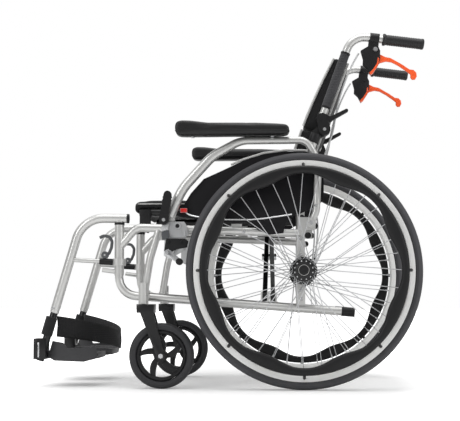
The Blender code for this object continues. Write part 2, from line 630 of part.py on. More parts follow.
def caster(prefix, side, fork_holder, wheel_holder):
    x = side * CASTER_X
    axle_y = CASTER_POST_Y + CASTER_TRAIL
    half = CASTER_WIDTH / 2
    inner, outer = half + 0.003, half + 0.008
    crown = block((x - outer, x + outer), (CASTER_POST_Y - 0.015, CASTER_POST_Y + 0.030),
                  (2 * CASTER_R + 0.026, CASTER_TOP_Z))
    blades = []
    for way in (-1, 1):
        outline = link_outline((CASTER_POST_Y + 0.010, 2 * CASTER_R + 0.030), 0.016,
                               (axle_y, CASTER_R), 0.011)
        blades.append(plate(outline, x + way * inner, x + way * outer))
    stem = rod((x, CASTER_POST_Y, CASTER_TOP_Z - 0.005), (x, CASTER_POST_Y, CASTER_TOP_Z + 0.044),
               0.006)
    bolt = rod((x - outer - 0.002, axle_y, CASTER_R), (x + outer + 0.002, axle_y, CASTER_R), 0.004, 8)
    node(prefix + "_caster_fork", crown, fork_holder, BLACK, add=[*blades, stem, bolt])
    rim_out = CASTER_R - 0.0205
    tyre = turned([(-half * 0.75, rim_out + GAP), (half * 0.75, rim_out + GAP), (half, CASTER_R - 0.010),
                   (half * 0.6, CASTER_R), (-half * 0.6, CASTER_R), (-half, CASTER_R - 0.010)],
                  x, axle_y, CASTER_R, 24)
    node(prefix + "_caster_tyre", tyre, wheel_holder, RUBBER)
    ring = turned([(-half * 0.8, rim_out - 0.008), (half * 0.8, rim_out - 0.008), (half * 0.75, rim_out),
                   (-half * 0.75, rim_out)], x, axle_y, CASTER_R, 24)
    hub = rod((x - half - 0.0018, axle_y, CASTER_R), (x + half + 0.0018, axle_y, CASTER_R), 0.015, 14)
    spokes = []
    for index in range(5):
        angle = 2 * math.pi * index / 5 + 0.3
        across, up = math.cos(angle), math.sin(angle)
        spokes.append(rod((x, axle_y + 0.010 * across, CASTER_R + 0.010 * up),
                          (x, axle_y + (rim_out - 0.004) * across, CASTER_R + (rim_out - 0.004) * up),
                          0.0075, 6))
    bore = rod((x - 0.03, axle_y, CASTER_R), (x + 0.03, axle_y, CASTER_R), 0.004 + GAP, 8)
    node(prefix + "_caster_wheel", ring, wheel_holder, BLACK, add=[hub, *spokes], cut=[bore])


# ---------------------------------------------------------------- wheel lock
def wheel_lock(prefix, side, frame, handle_holder, shoe_holder):
    plate_in, plate_out = OUTBOARD + 0.0004, OUTBOARD + 0.0115
    cover_out = plate_out + 0.020
    body = plate([(-0.352, 0.4345), (-0.313, 0.4345), (-0.306, 0.424), (-0.302, 0.406), (-0.309, 0.391),
                  (-0.309, 0.360), (-0.352, 0.337), (-0.366, 0.345), (-0.364, 0.400),
                  (-0.374, 0.430), (-0.374, 0.445), (-0.3585, 0.4475)], side * (plate_out - 0.008),
                 side * plate_out)
    clamp = block((side * plate_in, side * plate_out), (-0.351, -0.315), (0.396, 0.433))
    cover = plate([(-0.358, 0.391), (-0.309, 0.390), (-0.302, 0.382), (-0.307, 0.367), (-0.333, 0.364),
                   (-0.339, 0.352), (-0.343, 0.344), (-0.362, 0.344), (-0.364, 0.357)],
                  side * (plate_out - 0.001), side * cover_out)
    handle_in, handle_out = cover_out + 0.002, cover_out + 0.020
    pins = [rod((side * (plate_out - 0.004), *place), (side * (handle_out + 0.0015), *place), 0.004, 10)
            for place in (LOCK_HANDLE_PIVOT, LOCK_SHOE_PIVOT)]
    node(prefix + "_lock_bracket", body, frame, LATCH_GREY, add=[clamp, cover, *pins])
    bore = rod((side * (plate_out - 0.01), *LOCK_HANDLE_PIVOT), (side * (handle_out + 0.02), *LOCK_HANDLE_PIVOT),
               0.004 + GAP, 10)
    handle = plate(link_outline(LOCK_HANDLE_PIVOT, 0.0126, (-0.353, 0.503), 0.0100),
                   side * handle_in, side * handle_out)
    node(prefix + "_lock_handle", handle, handle_holder, BLACK, cut=[bore])
    shoe_bore = rod((side * (plate_out - 0.01), *LOCK_SHOE_PIVOT), (side * (handle_out + 0.02), *LOCK_SHOE_PIVOT),
                    0.004 + GAP, 10)
    roller_place = LOCK_SHOE_PIVOT + Vector((0.031, -0.024))
    arm = plate(link_outline(LOCK_SHOE_PIVOT, 0.0085, roller_place, 0.0065), side * handle_in,
                side * (handle_in + 0.008))
    roller = rod((side * handle_in, *roller_place), (side * (handle_in + 0.024), *roller_place), 0.008, 12)
    node(prefix + "_lock_shoe", arm, shoe_holder, STEEL, add=[roller], cut=[shoe_bore])


# ---------------------------------------------------------------- legrest
def legrest(prefix, side, holder, plate_holder, latch_holder):
    x = side * FRAME_X
    hanger = side_tube([HANGER_LOW, HANGER_CORNER, HANGER_BACK], HANGER_R, 0.078, x, steps=7)
    pin = rod((x, POST_Y, POST_TOP - 0.028), (x, POST_Y, HANGER_BACK.y), 0.006)
    collar = rod((x, POST_Y, POST_TOP + GAP), (x, POST_Y, POST_TOP + 0.010), POST_R, 12)
    strut = rod((x, -0.617, 0.336), (x, POST_Y - 0.0145, 0.3295), 0.006, 10)
    ring = rod((x, POST_Y, 0.320), (x, POST_Y, 0.338), POST_R + 0.0055, 16)
    ring_bore = rod((x, POST_Y, 0.30), (x, POST_Y, 0.35), POST_R / math.cos(math.pi / 12) + GAP, 12)
    latch_lug = block((x - 0.0028, x + 0.0028), (LATCH_PIVOT.x - 0.007, LATCH_PIVOT.x + 0.007),
                      (0.330, LATCH_PIVOT.y + 0.006))
    latch_pin = rod((x - 0.008, *LATCH_PIVOT), (x + 0.008, *LATCH_PIVOT), 0.0025, 8)
    node(prefix + "_legrest_hanger", hanger, holder, SILVER,
         add=[pin, collar, strut, ring, latch_lug, latch_pin], cut=[ring_bore])
    hook = plate([(-0.532, 0.342), (-0.518, 0.342), (-0.514, 0.356), (-0.508, 0.368), (-0.5045, 0.380),
                  (-0.508, 0.394), (-0.519, 0.403), (-0.534, 0.402), (-0.543, 0.396), (-0.531, 0.390),
                  (-0.526, 0.378), (-0.531, 0.360)], x - 0.0065, x + 0.0065)
    slot = block((x - 0.0032, x + 0.0032), (-0.540, -0.505), (0.325, 0.364))
    hook_bore = rod((x - 0.02, *LATCH_PIVOT), (x + 0.02, *LATCH_PIVOT), 0.0025 + GAP, 8)
    node(prefix + "_legrest_latch", hook, latch_holder, LATCH_GREY, cut=[slot, hook_bore])
    way = (HANGER_LOW - HANGER_CORNER).normalized()
    top = HANGER_LOW + way * GAP
    end = top + way * ((top.y - 0.070) / -way.y)
    hinge_x = side * FOOT_HINGE_X
    shank = rod((x, *top), (x, *end), CANE_R)
    grip_y = end.x - way.x * 0.016
    clamp = block((side * (FOOT_HINGE_X - 0.010), side * (FRAME_X + 0.0155)), (grip_y - 0.019, grip_y + 0.013),
                  (0.074, 0.128))
    hinge = rod((hinge_x, grip_y, FOOT_HINGE_Z), (hinge_x, grip_y + FOOTPLATE_LENGTH + 0.012, FOOT_HINGE_Z),
                0.005, 10)
    node(prefix + "_foot_tube", shank, holder, BLACK, add=[clamp, hinge])
    front = grip_y + 0.0135
    back = front + FOOTPLATE_LENGTH
    inner = FOOT_HINGE_X - FOOTPLATE_WIDTH
    deck = block((hinge_x, side * inner), (front, back), (FOOT_HINGE_Z - 0.0035, FOOT_HINGE_Z + 0.0045))
    sleeve = rod((hinge_x, front, FOOT_HINGE_Z), (hinge_x, back, FOOT_HINGE_Z), 0.0105, 12)
    wall = plate([(front, 0.079), (front + 0.018, 0.069), (back - 0.034, 0.066), (back - 0.003, 0.074),
                  (back, 0.092), (back - 0.004, 0.112), (back - 0.014, 0.104), (front + 0.052, 0.101),
                  (front + 0.040, 0.116), (front + 0.012, 0.121)],
                 side * (FOOT_HINGE_X + 0.0045), side * (FOOT_HINGE_X + 0.0115))
    heel_edge = block((side * (FOOT_HINGE_X - 0.008), side * inner), (back - 0.006, back),
                      (FOOT_HINGE_Z - 0.011, FOOT_HINGE_Z + 0.0045))
    hole = rod((hinge_x, front - 0.02, FOOT_HINGE_Z), (hinge_x, back + 0.02, FOOT_HINGE_Z), 0.005 + GAP, 10)
    node(prefix + "_footplate", deck, plate_holder, PLATE_GREY, add=[sleeve, wall, heel_edge], cut=[hole])
    heel_strap(prefix + "_heel_strap", side, holder)


def heel_strap(name, side, holder):
    """Half of the calf band, from the leg tube to the join in the middle of the chair."""
    columns = 8
    shape = bmesh.new()
    bmesh.ops.create_grid(shape, x_segments=columns, y_segments=1, size=0.5)
    for vert in shape.verts:
        t, edge = vert.co.x + 0.5, vert.co.y + 0.5
        x = (1 - t) * (FRAME_X - 0.0145) + t * GAP
        y = -0.655 + 0.140 * math.sin(t * math.pi / 2) ** 0.9
        low, high = 0.136 - 0.039 * t, 0.184 - 0.048 * t
        vert.co = (side * x, y, low + (high - low) * edge)
    mesh = bpy.data.meshes.new(name)
    shape.to_mesh(mesh)
    shape.free()
    band = bpy.data.objects.new(name, mesh)
    bpy.context.scene.collection.objects.link(band)
    wall = band.modifiers.new("thickness", "SOLIDIFY")
    wall.thickness = 0.003
    wall.offset = 0
    return node(name, piece(baked(band)), holder, FABRIC)


# ---------------------------------------------------------------- cross brace, seat and back
def cross_brace(name, side, holder, arm_y):
    """An arm from this side's lower pivot up to the opposite seat rail, which is welded to it."""
    low = Vector((side * RAIL_X, CROSS_LOW_Z))
    high = Vector((-side * RAIL_X, SEAT_RAIL_Z))
    arm = plate(link_outline(low, ARM_END_R, high, 0.0098), arm_y - ARM_THICK / 2, arm_y + ARM_THICK / 2,
                FRONT_VIEW)
    rail = rod((high.x, -0.436, high.y), (high.x, -0.030, high.y), RAIL_R)
    bores = [rod((x, arm_y - 0.02, z), (x, arm_y + 0.02, z), PIN_R + GAP)
             for x, z in ((low.x, low.y), (0, CROSS_MID_Z))]
    return node(name, rail, holder, BLACK_METAL, add=[arm], cut=bores)


def cross_pin(name, holder):
    ends = (LEFT_ARM_Y - ARM_THICK / 2 - 0.004, RIGHT_ARM_Y + ARM_THICK / 2 + 0.004)
    middle = (CROSS_Y - ARM_GAP / 2 + GAP, CROSS_Y + ARM_GAP / 2 - GAP)
    shank = rod((0, ends[0], CROSS_MID_Z), (0, ends[1], CROSS_MID_Z), PIN_R)
    discs = [rod((0, a, CROSS_MID_Z), (0, b, CROSS_MID_Z), 0.009, 12)
             for a, b in ((ends[0] - 0.002, ends[0] + 0.004 - GAP), middle,
                          (ends[1] - 0.004 + GAP, ends[1] + 0.002))]
    return node(name, shank, holder, STEEL, add=discs)


def seat(name, holder):
    top = SEAT_RAIL_Z + 0.0325
    under = SEAT_RAIL_Z + RAIL_R + 0.0006
    slab = plate([(-0.452, 0.462), (-0.446, 0.457), (-0.4385, 0.459), (-0.4375, under), (-0.030, under),
                  (-0.028, top - 0.008), (-0.036, top - 0.002), (-0.200, top), (-0.400, top + 0.002),
                  (-0.440, top - 0.002), (-0.451, top - 0.010)], -(FRAME_X - 0.008), FRAME_X - 0.008)
    return node(name, slab, holder, FABRIC)


def back_pad(name, holder, low, high, thick_front, thick_rear):
    """The padded back between the canes, from low to high along them."""
    base = lower_cane_end()
    rows = 5
    front, rear = [], []
    for index in range(rows + 1):
        along = low + (high - low) * index / rows
        middle = base + CANE_WAY * along
        bulge = math.cos((along - 0.03) / 0.26 * math.pi / 2)
        front.append(middle + Vector((-thick_front * (0.45 + 0.55 * bulge), 0)))
        rear.append(middle + Vector((thick_rear, 0)))
    half = CANE_X - CANE_R - 0.0105
    return node(name, plate([*front, *reversed(rear)], -half, half), holder, FABRIC)


# ---------------------------------------------------------------- the whole chair
def build_side(prefix, side, frame, arm_y):
    """Every piece of one side, and the empties that its joints turn on."""
    def joint(name, place, parent=frame):
        return empty(prefix + "_" + name, place, parent)

    x = side * FRAME_X
    cane_x = side * CANE_X
    wheel = joint("wheel_axis", (side * WHEEL_X, 0, AXLE_Z))
    swivel = joint("caster_swivel", (side * CASTER_X, CASTER_POST_Y, CASTER_TOP_Z))
    roll = joint("caster_axis", (side * CASTER_X, CASTER_POST_Y + CASTER_TRAIL, CASTER_R), swivel)
    back = joint("back_axis", (cane_x, *BACK_PIVOT))
    release = joint("back_release_axis", (cane_x, *RELEASE_PIVOT), back)
    squeeze = joint("brake_axis", (cane_x, *brake_pivot()), back)
    arm = joint("armrest_axis", (side * ARMREST_X, *ARMREST_PIVOT))
    rod_slide = joint("armrest_release_slide", (side * ARMREST_X, -0.318, 0.4635), arm)
    leg = joint("legrest_axis", (x, POST_Y, POST_TOP))
    foot = joint("footplate_axis", (side * FOOT_HINGE_X, POST_Y, FOOT_HINGE_Z), leg)
    latch = joint("legrest_latch_axis", (x, *LATCH_PIVOT), leg)
    lock = joint("lock_handle_axis", (side * LOCK_X, *LOCK_HANDLE_PIVOT))
    shoe = joint("lock_shoe_axis", (side * LOCK_X, *LOCK_SHOE_PIVOT))

    side_frame(prefix + "_side_frame", side, frame, arm_y)
    back_hinge(prefix + "_back_hinge", side, frame)
    brake_cable(prefix + "_brake_cable", side, frame)
    back_cane(prefix + "_back_cane", side, back)
    hand_grip(prefix + "_hand_grip", side, back)
    brake_housing(prefix + "_brake_housing", side, back)
    back_release_lever(prefix + "_back_release_lever", side, release)
    brake_lever(prefix + "_brake_lever", side, squeeze)
    armrest_frame(prefix + "_armrest_frame", side, arm)
    armrest_pad(prefix + "_armrest_pad", side, arm)
    side_guard(prefix + "_side_guard", side, arm)
    armrest_release(prefix + "_armrest_release", side, rod_slide)
    rear_wheel(prefix, side, wheel)
    caster(prefix, side, swivel, roll)
    wheel_lock(prefix, side, frame, lock, shoe)
    legrest(prefix, side, leg, foot, latch)


left_frame = empty("left_frame", (0, 0, 0), datum)
right_frame = empty("right_frame", (0, 0, 0), datum)
fold_axis = empty("fold_axis", (RAIL_X, LEFT_ARM_Y, CROSS_LOW_Z), left_frame)
cross_axis = empty("cross_axis", (0, RIGHT_ARM_Y, CROSS_MID_Z), fold_axis)

build_side("left", 1, left_frame, LEFT_ARM_Y)
build_side("right", -1, right_frame, RIGHT_ARM_Y)
cross_brace("left_cross_brace", 1, fold_axis, LEFT_ARM_Y)
cross_brace("right_cross_brace", -1, cross_axis, RIGHT_ARM_Y)
cross_pin("cross_pin", fold_axis)
seat("seat_sling", cross_axis)
back_pad("back_upholstery_lower", left_frame, -0.118, 0.0310, 0.045, 0.018)
back_pad("back_upholstery_upper", left_frame, 0.0330, 0.242, 0.045, 0.018)
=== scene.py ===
# %% [markdown]
# # A folding wheelchair, dressed
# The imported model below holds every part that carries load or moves.  This lesson gives each
# one its finish, and makes the soft and fine pieces that a solid model keeps plain: tyres with
# tread, laced spokes, padded cloth, grips and levers.  The front of the chair faces -Y.

# %% Load the frame
import math

import bmesh
import bpy
from mathutils import Matrix, Vector


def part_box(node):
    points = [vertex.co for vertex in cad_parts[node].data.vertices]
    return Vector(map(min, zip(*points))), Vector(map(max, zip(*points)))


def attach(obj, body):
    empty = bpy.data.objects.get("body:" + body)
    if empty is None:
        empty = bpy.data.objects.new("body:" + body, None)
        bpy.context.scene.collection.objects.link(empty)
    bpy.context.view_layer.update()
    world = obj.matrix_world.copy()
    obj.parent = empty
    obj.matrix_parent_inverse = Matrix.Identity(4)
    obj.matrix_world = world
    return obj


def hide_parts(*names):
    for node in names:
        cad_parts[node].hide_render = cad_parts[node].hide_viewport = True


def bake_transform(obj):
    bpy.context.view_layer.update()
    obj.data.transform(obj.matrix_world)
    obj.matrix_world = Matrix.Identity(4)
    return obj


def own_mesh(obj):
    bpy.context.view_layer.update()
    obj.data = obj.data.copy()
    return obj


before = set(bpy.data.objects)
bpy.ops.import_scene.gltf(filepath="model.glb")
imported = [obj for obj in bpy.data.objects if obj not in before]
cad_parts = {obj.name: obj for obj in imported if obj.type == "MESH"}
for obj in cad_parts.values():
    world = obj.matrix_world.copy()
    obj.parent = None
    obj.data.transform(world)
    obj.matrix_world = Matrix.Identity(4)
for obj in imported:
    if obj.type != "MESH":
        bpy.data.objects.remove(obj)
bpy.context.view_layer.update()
scene = bpy.context.scene
scene.view_settings.view_transform = "Standard"

# %% [markdown]
# The camera comes first, because every later choice is judged through it.  A long lens from
# about three metres keeps the two wheels almost in line, and the eye is low, near hub height.

# %% Camera
wheel_low, wheel_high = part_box("left_rear_tyre")
AXLE = Vector((0, (wheel_low[1] + wheel_high[1]) / 2, (wheel_low[2] + wheel_high[2]) / 2))
EYE = Vector((3.14, AXLE.y - 0.0358, 0.224))
YAW, PITCH = math.radians(3.075), math.radians(4.70)
camera = bpy.data.objects.new("camera", bpy.data.cameras.new("camera"))
scene.collection.objects.link(camera)
camera.data.lens, camera.data.sensor_width = 87.1, 36
camera.location = EYE
looking = Vector((-math.cos(PITCH) * math.cos(YAW), -math.cos(PITCH) * math.sin(YAW), math.sin(PITCH)))
camera.rotation_euler = looking.to_track_quat("-Z", "Y").to_euler()
scene.camera = camera
print("camera looks along", tuple(round(v, 3) for v in looking))

# %% [markdown]
# One function adds a shader node, its settings and its links, so every material reads as a
# short recipe.  Colours are written as sRGB hex and turned to linear in one place.

# %% Material helpers
def linear(code):
    """A '#RRGGBB' colour as linear red, green, blue and alpha."""
    parts = [int(code[i:i + 2], 16) / 255 for i in (1, 3, 5)]
    return (*[c / 12.92 if c <= 0.04045 else ((c + 0.055) / 1.055) ** 2.4 for c in parts], 1)


def add(tree, kind, inputs=(), **settings):
    """A shader node; each input takes a value or another node's output."""
    made = tree.nodes.new("ShaderNode" + kind)
    for key, value in settings.items():
        setattr(made, key, value)
    for key, value in dict(inputs).items():
        if isinstance(value, bpy.types.NodeSocket):
            tree.links.new(value, made.inputs[key])
        else:
            made.inputs[key].default_value = value
    return made


MM = 0.001


def start(name, roughness, metallic=0.0, **sockets):
    """A new material, its tree, its shader and the Object coordinates that its patterns read."""
    made = bpy.data.materials.new(name)
    made.use_nodes = True
    tree = made.node_tree
    shader = tree.nodes["Principled BSDF"]
    shader.inputs["Roughness"].default_value = roughness
    shader.inputs["Metallic"].default_value = metallic
    for key, value in sockets.items():
        shader.inputs[key.replace("_", " ")].default_value = value
    return made, tree, shader, add(tree, "TexCoord").outputs["Object"]


def mottled(tree, shader, where, dark, light, patch, grain, depth, detail=3.0):
    """Colour that drifts between two shades over patches, and a fine bump of the grain's size."""
    drift = add(tree, "TexNoise", {"Vector": where, "Scale": 1 / patch, "Detail": 2.0})
    ramp = add(tree, "Mix", {0: drift.outputs["Fac"], 6: linear(dark), 7: linear(light)}, data_type="RGBA")
    tree.links.new(ramp.outputs[2], shader.inputs["Base Color"])
    fine = add(tree, "TexNoise", {"Vector": where, "Scale": 1 / grain, "Detail": detail})
    bump = add(tree, "Bump", {"Height": fine.outputs["Fac"], "Strength": 0.35, "Distance": depth})
    tree.links.new(bump.outputs["Normal"], shader.inputs["Normal"])
    return bump

# %% [markdown]
# The floor melts into a white backdrop.  A pale world gives most of the light, a wide soft light
# overhead draws the shadow, and two long strips give the tubes a gloss.

# %% Floor and light
floor_mesh = bmesh.new()
bmesh.ops.create_grid(floor_mesh, x_segments=1, y_segments=1, size=30)
floor = bpy.data.objects.new("floor", bpy.data.meshes.new("floor"))
floor_mesh.to_mesh(floor.data)
floor_mesh.free()
scene.collection.objects.link(floor)

world = bpy.data.worlds.new("studio")
world.use_nodes = True
sky_tree = world.node_tree
sky = sky_tree.nodes["Background"]
seen, way = add(sky_tree, "LightPath"), add(sky_tree, "TexCoord")
height = add(sky_tree, "SeparateXYZ", {"Vector": way.outputs["Generated"]})
dome = add(sky_tree, "ValToRGB", {"Fac": height.outputs["Z"]})
stops = dome.color_ramp.elements
stops[0].position, stops[1].position = 0.0, 0.95
for stop, value in zip(stops, (0.50, 1.10)):
    stop.color = (value, value, value, 1)
stops.new(0.35).color = (0.34, 0.34, 0.34, 1)
glow = add(sky_tree, "Mix", {0: seen.outputs["Is Camera Ray"], 2: dome.outputs["Color"], 3: 1.0})
sky_tree.links.new(glow.outputs[0], sky.inputs["Strength"])
sky.inputs["Color"].default_value = (1, 1, 1, 1)
scene.world = world


def soft_light(name, place, target, size, power):
    data = bpy.data.lights.new(name, "AREA")
    data.shape, data.size, data.size_y, data.energy = "RECTANGLE", size[0], size[1], power
    lamp = bpy.data.objects.new(name, data)
    lamp.location = place
    lamp.rotation_euler = (Vector(target) - Vector(place)).to_track_quat("-Z", "Y").to_euler()
    scene.collection.objects.link(lamp)


soft_light("overhead", (0.4, 0.1, 3.2), (0, 0, 0.3), (2.6, 2.6), 34)
soft_light("front_strip", (2.6, -2.4, 1.9), (0, 0, 0.5), (0.6, 2.2), 22)
soft_light("rear_strip", (2.0, 2.6, 1.6), (0, 0, 0.5), (0.6, 2.0), 14)

# %% [markdown]
# **Hard finishes.**  Frame tubes are aluminium with a satin silver paint under clear lacquer:
# a soft sheen with a sharp thin highlight.  Moulded nylon is dark, with the faint grain of the
# mould.  Each pattern's size is the real one, or as coarse as it needs to be to show.

# %% Hard materials
FINISH = {}


def hard(name, dark, light, roughness, metallic=0.0, patch=60 * MM, grain=0.8 * MM, depth=0.05 * MM, **more):
    made, tree, shader, where = start(name, roughness, metallic, **more)
    mottled(tree, shader, where, dark, light, patch, grain, depth)
    FINISH[name] = made


hard("silver_paint", "#CDCDCB", "#DADAD8", 0.30, 0.72, Coat_Weight=0.5, Coat_Roughness=0.12)
hard("bright_anodised", "#EDEDEB", "#F8F8F6", 0.28, 0.05, Coat_Weight=0.3, Coat_Roughness=0.15)
hard("moulded_nylon", "#0F0F10", "#161618", 0.42, grain=1.2 * MM, depth=0.08 * MM, Specular_IOR_Level=0.35)
hard("satin_black_enamel", "#0C0C0D", "#121214", 0.30, Specular_IOR_Level=0.4, Coat_Weight=0.15,
    Coat_Roughness=0.2)
hard("cast_zinc", "#C2C3C4", "#D6D7D8", 0.32, 0.6, grain=1.0 * MM)
hard("grey_moulding", "#45474A", "#55575A", 0.42, grain=1.2 * MM)
hard("bright_steel", "#C4C5C7", "#DADBDC", 0.22, 1.0)
hard("spoke_steel", "#C6C7C9", "#D6D7D9", 0.35, 0.35)
hard("orange_gloss", "#F9511A", "#FF6324", 0.28, Coat_Weight=0.4, Coat_Roughness=0.1)
hard("red_gloss", "#D31C17", "#E5231D", 0.3)
hard("grey_glass_nylon", "#2E2E30", "#3A3A3C", 0.45, grain=1.5 * MM, depth=0.12 * MM)
hard("guard_sheet", "#07060A", "#0B0A0F", 0.40, patch=120 * MM, grain=2.0 * MM, Specular_IOR_Level=0.25)
hard("grey_cable_sleeve", "#B9BABB", "#CFD0D0", 0.4)
hard("tyre_rubber", "#3E3E41", "#4A4A4D", 0.70, grain=2.5 * MM, depth=0.25 * MM)
hard("caster_rubber", "#232325", "#2D2D30", 0.58, grain=2.0 * MM, depth=0.2 * MM)
hard("grip_rubber", "#101012", "#18181A", 0.45, grain=2.2 * MM, depth=0.3 * MM)
print(len(FINISH), "hard finishes")

# %% [markdown]
# **Cloth and coated cloth.**  The back and seat are woven nylon, whose threads break up the
# light; the armrest pads are a soft skin with a leather grain; the cane sleeves are an open
# spacer mesh.  Threads are about half a millimetre apart, and drawn four times as coarse here.

# %% Soft materials
def woven(name, dark, light, thread, depth, sheen):
    """Cloth: two sets of threads, one across the other, and a soft edge sheen."""
    made, tree, shader, where = start(name, 0.86, Sheen_Weight=sheen, Sheen_Roughness=0.5)
    bump = mottled(tree, shader, where, dark, light, 45 * MM, 1.5 * MM, 0.15 * MM)
    waves = []
    for direction in ("X", "Z"):
        waves.append(add(tree, "TexWave", {"Vector": where, "Scale": 1 / (thread * 6.3), "Distortion": 0.4,
            "Detail Scale": 2.0}, bands_direction=direction))
    both = add(tree, "Math", {0: waves[0].outputs["Fac"], 1: waves[1].outputs["Fac"]}, operation="MULTIPLY")
    weave = add(tree, "Bump", {"Height": both.outputs["Value"], "Normal": bump.outputs["Normal"],
        "Strength": 0.55, "Distance": depth})
    tree.links.new(weave.outputs["Normal"], shader.inputs["Normal"])
    FINISH[name] = made


woven("woven_nylon", "#0A0A0B", "#111113", 2.0 * MM, 0.5 * MM, 0.08)
woven("webbing", "#0D0D0E", "#151517", 3.0 * MM, 0.7 * MM, 0.10)
woven("spacer_mesh", "#1E1E20", "#48484B", 3.5 * MM, 1.4 * MM, 0.15)
woven("piping_cord", "#BDBDBB", "#D0D0CE", 2.0 * MM, 0.3 * MM, 0.2)


def skinned():
    """Soft foam skin with a leather grain: cells about 2 mm wide, with creases between them."""
    made, tree, shader, where = start("pad_skin", 0.38, Specular_IOR_Level=0.45)
    bump = mottled(tree, shader, where, "#0B0B0C", "#121213", 50 * MM, 1.0 * MM, 0.1 * MM)
    cells = add(tree, "TexVoronoi", {"Vector": where, "Scale": 1 / (2.2 * MM)}, feature="DISTANCE_TO_EDGE")
    crease = add(tree, "Bump", {"Height": cells.outputs["Distance"], "Normal": bump.outputs["Normal"],
        "Strength": 0.4, "Distance": 0.5 * MM})
    tree.links.new(crease.outputs["Normal"], shader.inputs["Normal"])
    FINISH["pad_skin"] = made


skinned()
studio, studio_tree, studio_shader, studio_where = start("studio_floor", 0.9)
studio_shader.inputs["Base Color"].default_value = (0.90, 0.90, 0.90, 1)
reach = add(studio_tree, "VectorMath", {0: studio_where, 1: (0.6, 1.0, 1.0)}, operation="MULTIPLY")
span = add(studio_tree, "VectorMath", {0: reach.outputs["Vector"]}, operation="LENGTH")
fade = add(studio_tree, "MapRange", {"Value": span.outputs["Value"], "From Min": 0.45, "From Max": 0.80,
    "To Min": 0.16, "To Max": 1.0})
eye = add(studio_tree, "LightPath")
lit = add(studio_tree, "Math", {0: fade.outputs["Result"], 1: eye.outputs["Is Camera Ray"]},
    operation="MULTIPLY")
studio_tree.links.new(lit.outputs["Value"], studio_shader.inputs["Emission Strength"])
studio_shader.inputs["Emission Color"].default_value = (1, 1, 1, 1)
floor.data.materials.append(studio)

# %% [markdown]
# The solid pieces keep their shape.  Their triangles are joined and shaded round where two faces
# meet at a shallow angle, and left sharp elsewhere, so a tube looks turned and a plate's edge crisp.

# %% Finish the solid pieces
SIDES = {"left": 1, "right": -1}
SOLID_FINISH = {
    "silver_paint": ("side_frame", "back_cane", "armrest_frame", "legrest_hanger"),
    "moulded_nylon": ("back_hinge", "back_release_lever", "brake_housing", "caster_wheel", "lock_handle"),
    "satin_black_enamel": ("caster_fork", "foot_tube", "cross_brace", "rear_hub"),
    "bright_steel": ("lock_shoe", "armrest_release", "cross_pin"), "bright_anodised": ("rear_rim",),
    "grey_glass_nylon": ("footplate",), "grey_moulding": ("legrest_latch",),
    "cast_zinc": ("lock_bracket",), "guard_sheet": ("side_guard",),
}
FINISH_OF = {short: finish for finish, names in SOLID_FINISH.items() for short in names}
SHARP = math.radians(42)
HINGE_TOP_Z = 0.7225


def smooth_over(obj):
    """Joins loose triangles and shades the piece round, apart from its sharp edges."""
    obj.data.polygons.foreach_set("use_smooth", [True] * len(obj.data.polygons))
    weld = obj.modifiers.new("weld", "WELD")
    weld.merge_threshold = 1e-5
    split = obj.modifiers.new("sharp_edges", "EDGE_SPLIT")
    split.split_angle = SHARP


for node_name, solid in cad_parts.items():
    short = node_name.split("_", 1)[1] if node_name.split("_")[0] in SIDES else node_name
    if short in FINISH_OF:
        solid.data.materials.clear()
        solid.data.materials.append(FINISH[FINISH_OF[short]])
        smooth_over(solid)
for prefix in SIDES:
    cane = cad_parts[prefix + "_back_cane"]
    cane.data.materials.append(FINISH["moulded_nylon"])
    for face in cane.data.polygons:
        if (cane.matrix_world @ face.center).z < HINGE_TOP_Z:
            face.material_index = 1
print("solid pieces finished")

# %% [markdown]
# Helpers for new pieces: a bmesh becomes a named object that rides on a body; a lathe spins a
# profile about a line along X; a bar follows a path with rounded bends.

# %% Helpers for new pieces
def sharp_at(piece, degrees):
    """Keeps edges over this angle crisp."""
    split = piece.modifiers.new("sharp_edges", "EDGE_SPLIT")
    split.split_angle = math.radians(degrees)


def baked(obj):
    """The object's mesh, with its modifiers applied."""
    bpy.context.view_layer.update()
    return bpy.data.meshes.new_from_object(obj.evaluated_get(bpy.context.evaluated_depsgraph_get()))


def finished(shape, name, finish, body, smooth=True, stands_for=(), crisp=None):
    """Turns a bmesh into a piece, which rides on the body and may stand for solid nodes."""
    bmesh.ops.remove_doubles(shape, verts=shape.verts, dist=1e-6)
    bmesh.ops.recalc_face_normals(shape, faces=shape.faces)
    mesh = bpy.data.meshes.new(name)
    shape.to_mesh(mesh)
    shape.free()
    mesh.polygons.foreach_set("use_smooth", [smooth] * len(mesh.polygons))
    piece = bpy.data.objects.new(name, mesh)
    scene.collection.objects.link(piece)
    mesh.materials.append(FINISH[finish])
    if body:
        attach(piece, body)
    if stands_for:
        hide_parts(*stands_for)
    if crisp:
        sharp_at(piece, crisp)
    return piece


def spun(shape, profile, centre, steps):
    """Adds a closed or pole-to-pole profile of (x, radius), spun about the X line through centre."""
    points = [shape.verts.new((x, 0, r)) for x, r in profile]
    closed = profile[0][1] > 0 and profile[-1][1] > 0
    edges = [shape.edges.new(pair) for pair in zip(points, points[1:])]
    if closed:
        edges.append(shape.edges.new((points[-1], points[0])))
    before = set(shape.verts) - set(points)
    bmesh.ops.spin(shape, geom=points + edges, axis=(1, 0, 0), cent=(0, 0, 0), dvec=(0, 0, 0),
        angle=2 * math.pi, steps=steps, use_merge=True, use_duplicate=False)
    new = [v for v in shape.verts if v not in before]
    bmesh.ops.translate(shape, verts=new, vec=centre)
    return new


def lathe(name, profile, centre, finish, body, steps=64, crisp=40, **more):
    """A piece spun from a profile of (x, radius)."""
    shape = bmesh.new()
    spun(shape, profile, centre, steps)
    return finished(shape, name, finish, body, crisp=crisp, **more)


